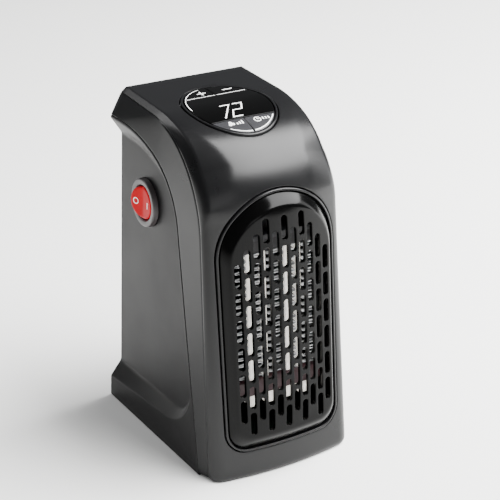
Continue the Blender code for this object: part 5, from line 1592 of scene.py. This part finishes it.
class HEATER_OT_plug(bpy.types.Operator):
    """Models the plug's turntable, blades and ground pin"""

    bl_idname = "heater.plug"
    bl_label = "Plug"

    def execute(self, context):
        h, p = context.scene.heater_housing, context.scene.heater_plug
        face = -h.setback
        end = p.flange_depth + p.flange
        ring = p.groove_radius
        profile = softened([
            (0, p.deep), (p.boss_radius, p.deep), (p.boss_radius, end), (p.flange_radius, end),
            (p.flange_radius, p.flange_depth), (p.radius, p.flange_depth), (p.radius, face),
            (ring + 0.0004, face), (ring + 0.0002, face + 0.0004), (ring - 0.0002, face + 0.0004),
            (ring - 0.0004, face), (0, face),
        ], {1: 0.0006, 3: 0.0004, 6: p.rounding})
        bm = turned(profile, facing_back(0, 0, h.plug_height), 96)
        table = new_object("plug_turntable_face", bm, "black_matt")
        level = h.plug_height + p.blade_rise
        tool = bmesh.new()
        blades = (("line_blade", 1, p.line_width), ("neutral_blade", -1, p.neutral_width))
        for name, side, width in blades:
            x = side * p.blade_spacing / 2
            block(tool, (p.blade + 2 * h.gap, 0.08, width + 2 * h.gap), at(x, 0, level))
            self.blade(h, p, name, x, width, level)
        pin_place = facing_back(0, 0, level - p.pin_drop)
        rod(tool, p.pin_radius + h.gap, 0.08, pin_place, 48)
        carved(table, tool)
        settled(table, "black_matt", "plug", ("plug_turntable",), 40)
        tip, base = p.pin_radius, p.deep + p.tail
        profile = [(0, base), (tip, base)]
        for turn in range(0, 90, 9):
            share = math.radians(turn)
            end = tip - p.pin_reach - h.setback - tip * math.sin(share)
            profile.append((tip * math.cos(share), end))
        profile.append((0, -p.pin_reach - h.setback))
        bm = turned(profile, pin_place, 48)
        piece("ground_pin_turned", bm, "brass", "brass", "plug", ("ground_pin",), 50)
        return {"FINISHED"}

    def blade(self, h, p, name, x, width, level):
        """A stamped blade with sloping edges at its tip and a hole."""
        half, rise, slope = p.blade / 2, width / 2, p.chamfer
        rear = -h.setback - p.deep - p.tail
        loops = []
        for y, thin, low in (
            (rear, 0.0002, 0.0002), (rear + 0.0002, 0, 0), (p.reach - slope, 0, 0),
            (p.reach - slope / 2, 0.0002, slope / 3), (p.reach, 0.00045, slope),
        ):
            a, b, e = half - thin, rise - low, 0.00018
            loops.append([
                Vector((x + u, y, level - h.plug_height + w)) for u, w in (
                    (-a, e - b), (e - a, -b), (a - e, -b), (a, e - b),
                    (a, b - e), (a - e, b), (e - a, b), (-a, b - e),
                )
            ])
        stamped = new_object(name + "_stamped", lofted(loops, close=False), "brass")
        bm = bmesh.new()
        place = Matrix.Translation((x, p.hole_reach, level - h.plug_height))
        rod(bm, p.hole, 0.01, place @ Matrix.Rotation(math.pi / 2, 4, "Y"), 32)
        carved(stamped, bm)
        settled(stamped, "brass", "plug", (name,), 40)


def rod(bm, radius, long, matrix, segments):
    bmesh.ops.create_cone(
        bm, cap_ends=True, segments=segments, radius1=radius, radius2=radius, depth=long,
        matrix=matrix,
    )


class HEATER_OT_rear(bpy.types.Operator):
    """Softens the edges of the rear cover and the base, and models the cover's four screws"""

    bl_idname = "heater.rear"
    bl_label = "Rear cover, base and screws"

    def execute(self, context):
        p = context.scene.heater_plug
        for node in ("rear_cover", "base_plate"):
            bm = bmesh.new()
            bm.from_mesh(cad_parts[node].data)
            bmesh.ops.remove_doubles(bm, verts=bm.verts, dist=MERGE)
            bmesh.ops.dissolve_limit(
                bm, angle_limit=math.radians(1), verts=bm.verts, edges=bm.edges
            )
            # Short edges belong to curves, whose steps would cross if they were rounded.
            sharp = [
                edge for edge in bm.edges
                if edge.is_manifold and edge.calc_face_angle() > math.radians(50)
                and edge.calc_length() > 10 * p.edge
            ]
            bevelled(bm, sharp, p.edge, 2, clamp_overlap=False)
            bmesh.ops.recalc_face_normals(bm, faces=bm.faces)
            piece(node + "_moulding", bm, "charcoal", "charcoal", nodes=(node,), crisp=15)
        for number in range(1, 5):
            node = "rear_cover_screw_" + str(number)
            low, high = [Vector(corner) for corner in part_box(node)]
            self.screw(p, node, (low.x + high.x) / 2, high.y, (low.z + high.z) / 2)
        return {"FINISHED"}

    def screw(self, p, node, x, y, z):
        """A pan-head screw with a cross recess."""
        head, sink, shank = p.screw_head, p.screw_sink, p.screw_shank
        profile = [(0, sink + p.screw_length), (shank / 2, sink + p.screw_length)]
        threads = 14
        run = p.screw_length - shank
        for i in range(threads):
            start = sink + run * (1 - i / threads)
            profile += [(shank * 0.82, start), (shank, start - run / threads / 2)]
        profile += [(shank * 0.82, sink), (head, sink), (head, sink * 0.6)]
        for turn in range(10, 91, 10):
            share = math.radians(turn)
            profile.append((head * math.cos(share) ** 0.6, sink * 0.6 * (1 - math.sin(share))))
        profile[-1] = (0, 0)
        place = Matrix.Translation((x, y, z)) @ Matrix.Rotation(math.pi / 2, 4, "X")
        screw = new_object(node + "_turned", turned(profile, place, 40), "steel")
        # One arm of the cross at a time, because the cut fails with arms that overlap.
        for size in ((p.cross, 3.2 * p.cross, sink), (3.2 * p.cross, p.cross, sink * 0.96)):
            tool = bmesh.new()
            block(tool, size, (0, 0, 0.0002))
            bmesh.ops.transform(tool, matrix=place, verts=tool.verts)
            carved(screw, tool)
        settled(screw, "steel", nodes=(node,), crisp=40)


# Nodes that stay as they are


class HEATER_OT_carried_over(bpy.types.Operator):
    """Gives every node that stays its finish"""

    bl_idname = "heater.carried_over"
    bl_label = "Carried-over parts"

    def execute(self, context):
        table = (
            ("black_matt", ("tact_switch_plus", "tact_switch_minus",
                            "tact_switch_speed", "tact_switch_timer", "digit_display", "capacitor",
                            "temperature_sensor", "thermal_cutout")),
            ("steel", ("turntable_retainer", "retainer_screw_1", "retainer_screw_2",
                       "retainer_screw_3", "fan_motor", "motor_shaft")),
            ("brass", ("switch_terminal_front", "switch_terminal_rear")),
            ("circuit_board", ("control_board", "power_board")),
            ("duct_plastic", ("fan_duct",)),
            ("fan_plastic", ("fan_impeller",)),
            ("relay_plastic", ("power_relay",)),
            ("lead_insulation", ("element_lead_left", "element_lead_right", "motor_lead_left",
                                 "motor_lead_right")),
        )
        for finish, nodes in table:
            for node in nodes:
                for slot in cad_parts[node].material_slots:
                    slot.material = FINISHES[finish]
        return {"FINISHED"}


# The stage


# Name, place, aim, width and height, and watts: a large soft box overhead to the right gives the
# highlight on the bend, and three faint ones lift the left side, the front and the right side.
LAMPS = (
    ("lamp_key", (0.90, -0.45, 0.95), (0.90, -0.45, 0), (1.4, 1.2), 150.0),
    ("lamp_left", (-0.6, 0.9, 0.9), (0, 0.15, -0.1), (0.6, 0.6), 7.0),
    ("lamp_front", (-0.25, -1.3, 0.35), (0, -0.05, -0.04), (0.5, 0.4), 1.5),
    ("lamp_right", (1.0, -0.35, 0.15), (0, -0.08, -0.04), (0.3, 0.8), 5.0),
)
# The photo's camera, fitted to the heater's outline: place, and degrees down and to the right.
CAMERA_PLACE = (-0.271, -0.5517, 0.2453)
CAMERA_DOWN = 26.04
CAMERA_RIGHT = 29.05


class HEATER_OT_stage(bpy.types.Operator):
    """Adds the pale floor, the soft lamps and the camera"""

    bl_idname = "heater.stage"
    bl_label = "Stage"

    def execute(self, context):
        scene = context.scene
        studio = scene.heater_studio
        # Painted board: matt and pale, with hardly any change of tone.
        made, tree, shader = new_finish("painted_board_pale", studio.floor, {"Roughness": 0.75})
        varied(tree, shader, studio.floor, 0.01, 400, 0.75, 0.02)
        bm = bmesh.new()
        bmesh.ops.create_grid(bm, x_segments=4, y_segments=4, size=6.0)
        # A hair below the base, so that the two don't flicker.
        level = -scene.heater_housing.plug_height - 0.0001
        bmesh.ops.translate(bm, vec=(0, 0, level), verts=bm.verts)
        FINISHES["floor"] = made
        new_object("studio_floor", bm, "floor")
        world = bpy.data.worlds.new("studio")
        world.use_nodes = True
        shade = world.node_tree.nodes["Background"]
        shade.inputs["Color"].default_value = opaque(studio.sky)
        shade.inputs["Strength"].default_value = studio.sky_strength
        scene.world = world
        for name, place, aim, size, watts in LAMPS:
            light = bpy.data.lights.new(name, "AREA")
            light.shape = "RECTANGLE"
            light.size, light.size_y = size
            light.energy = watts * studio.power
            lamp = bpy.data.objects.new(name, light)
            lamp.location = place
            lamp.rotation_euler = (Vector(aim) - Vector(place)).to_track_quat("-Z", "Y").to_euler()
            scene.collection.objects.link(lamp)
        camera = bpy.data.cameras.new("photo_camera")
        camera.lens = studio.lens
        camera.sensor_width = 36
        camera.clip_start = 0.01
        holder = bpy.data.objects.new("photo_camera", camera)
        holder.location = CAMERA_PLACE
        holder.rotation_euler = (math.radians(90 - CAMERA_DOWN), 0, math.radians(-CAMERA_RIGHT))
        scene.collection.objects.link(holder)
        scene.camera = holder
        return {"FINISHED"}


class HEATER_PT_sidebar(bpy.types.Panel):
    """Lists the heater's pieces"""

    bl_label = "Plug-in fan heater"
    bl_idname = "HEATER_PT_sidebar"
    bl_space_type = "VIEW_3D"
    bl_region_type = "UI"
    bl_category = "Heater"

    def draw(self, context):
        for operator in OPERATORS:
            self.layout.operator(operator.bl_idname)


OPERATORS = (
    HEATER_OT_front_shell, HEATER_OT_side_panels, HEATER_OT_outlet_ring, HEATER_OT_outlet_grille,
    HEATER_OT_power_switch, HEATER_OT_control_panel, HEATER_OT_element, HEATER_OT_plug,
    HEATER_OT_rear, HEATER_OT_carried_over, HEATER_OT_stage,
)
CLASSES = (*GROUPS.values(), *OPERATORS, HEATER_PT_sidebar)


def register():
    for item in CLASSES:
        bpy.utils.register_class(item)
    for name, group in GROUPS.items():
        setattr(bpy.types.Scene, name, bpy.props.PointerProperty(type=group))


def unregister():
    for name in GROUPS:
        delattr(bpy.types.Scene, name)
    for item in reversed(CLASSES):
        bpy.utils.unregister_class(item)


def main():
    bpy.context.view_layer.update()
    register()
    make_finishes()
    for operator in OPERATORS:
        group, name = operator.bl_idname.split(".")
        getattr(getattr(bpy.ops, group), name)()


if __name__ == "__main__":
    main()
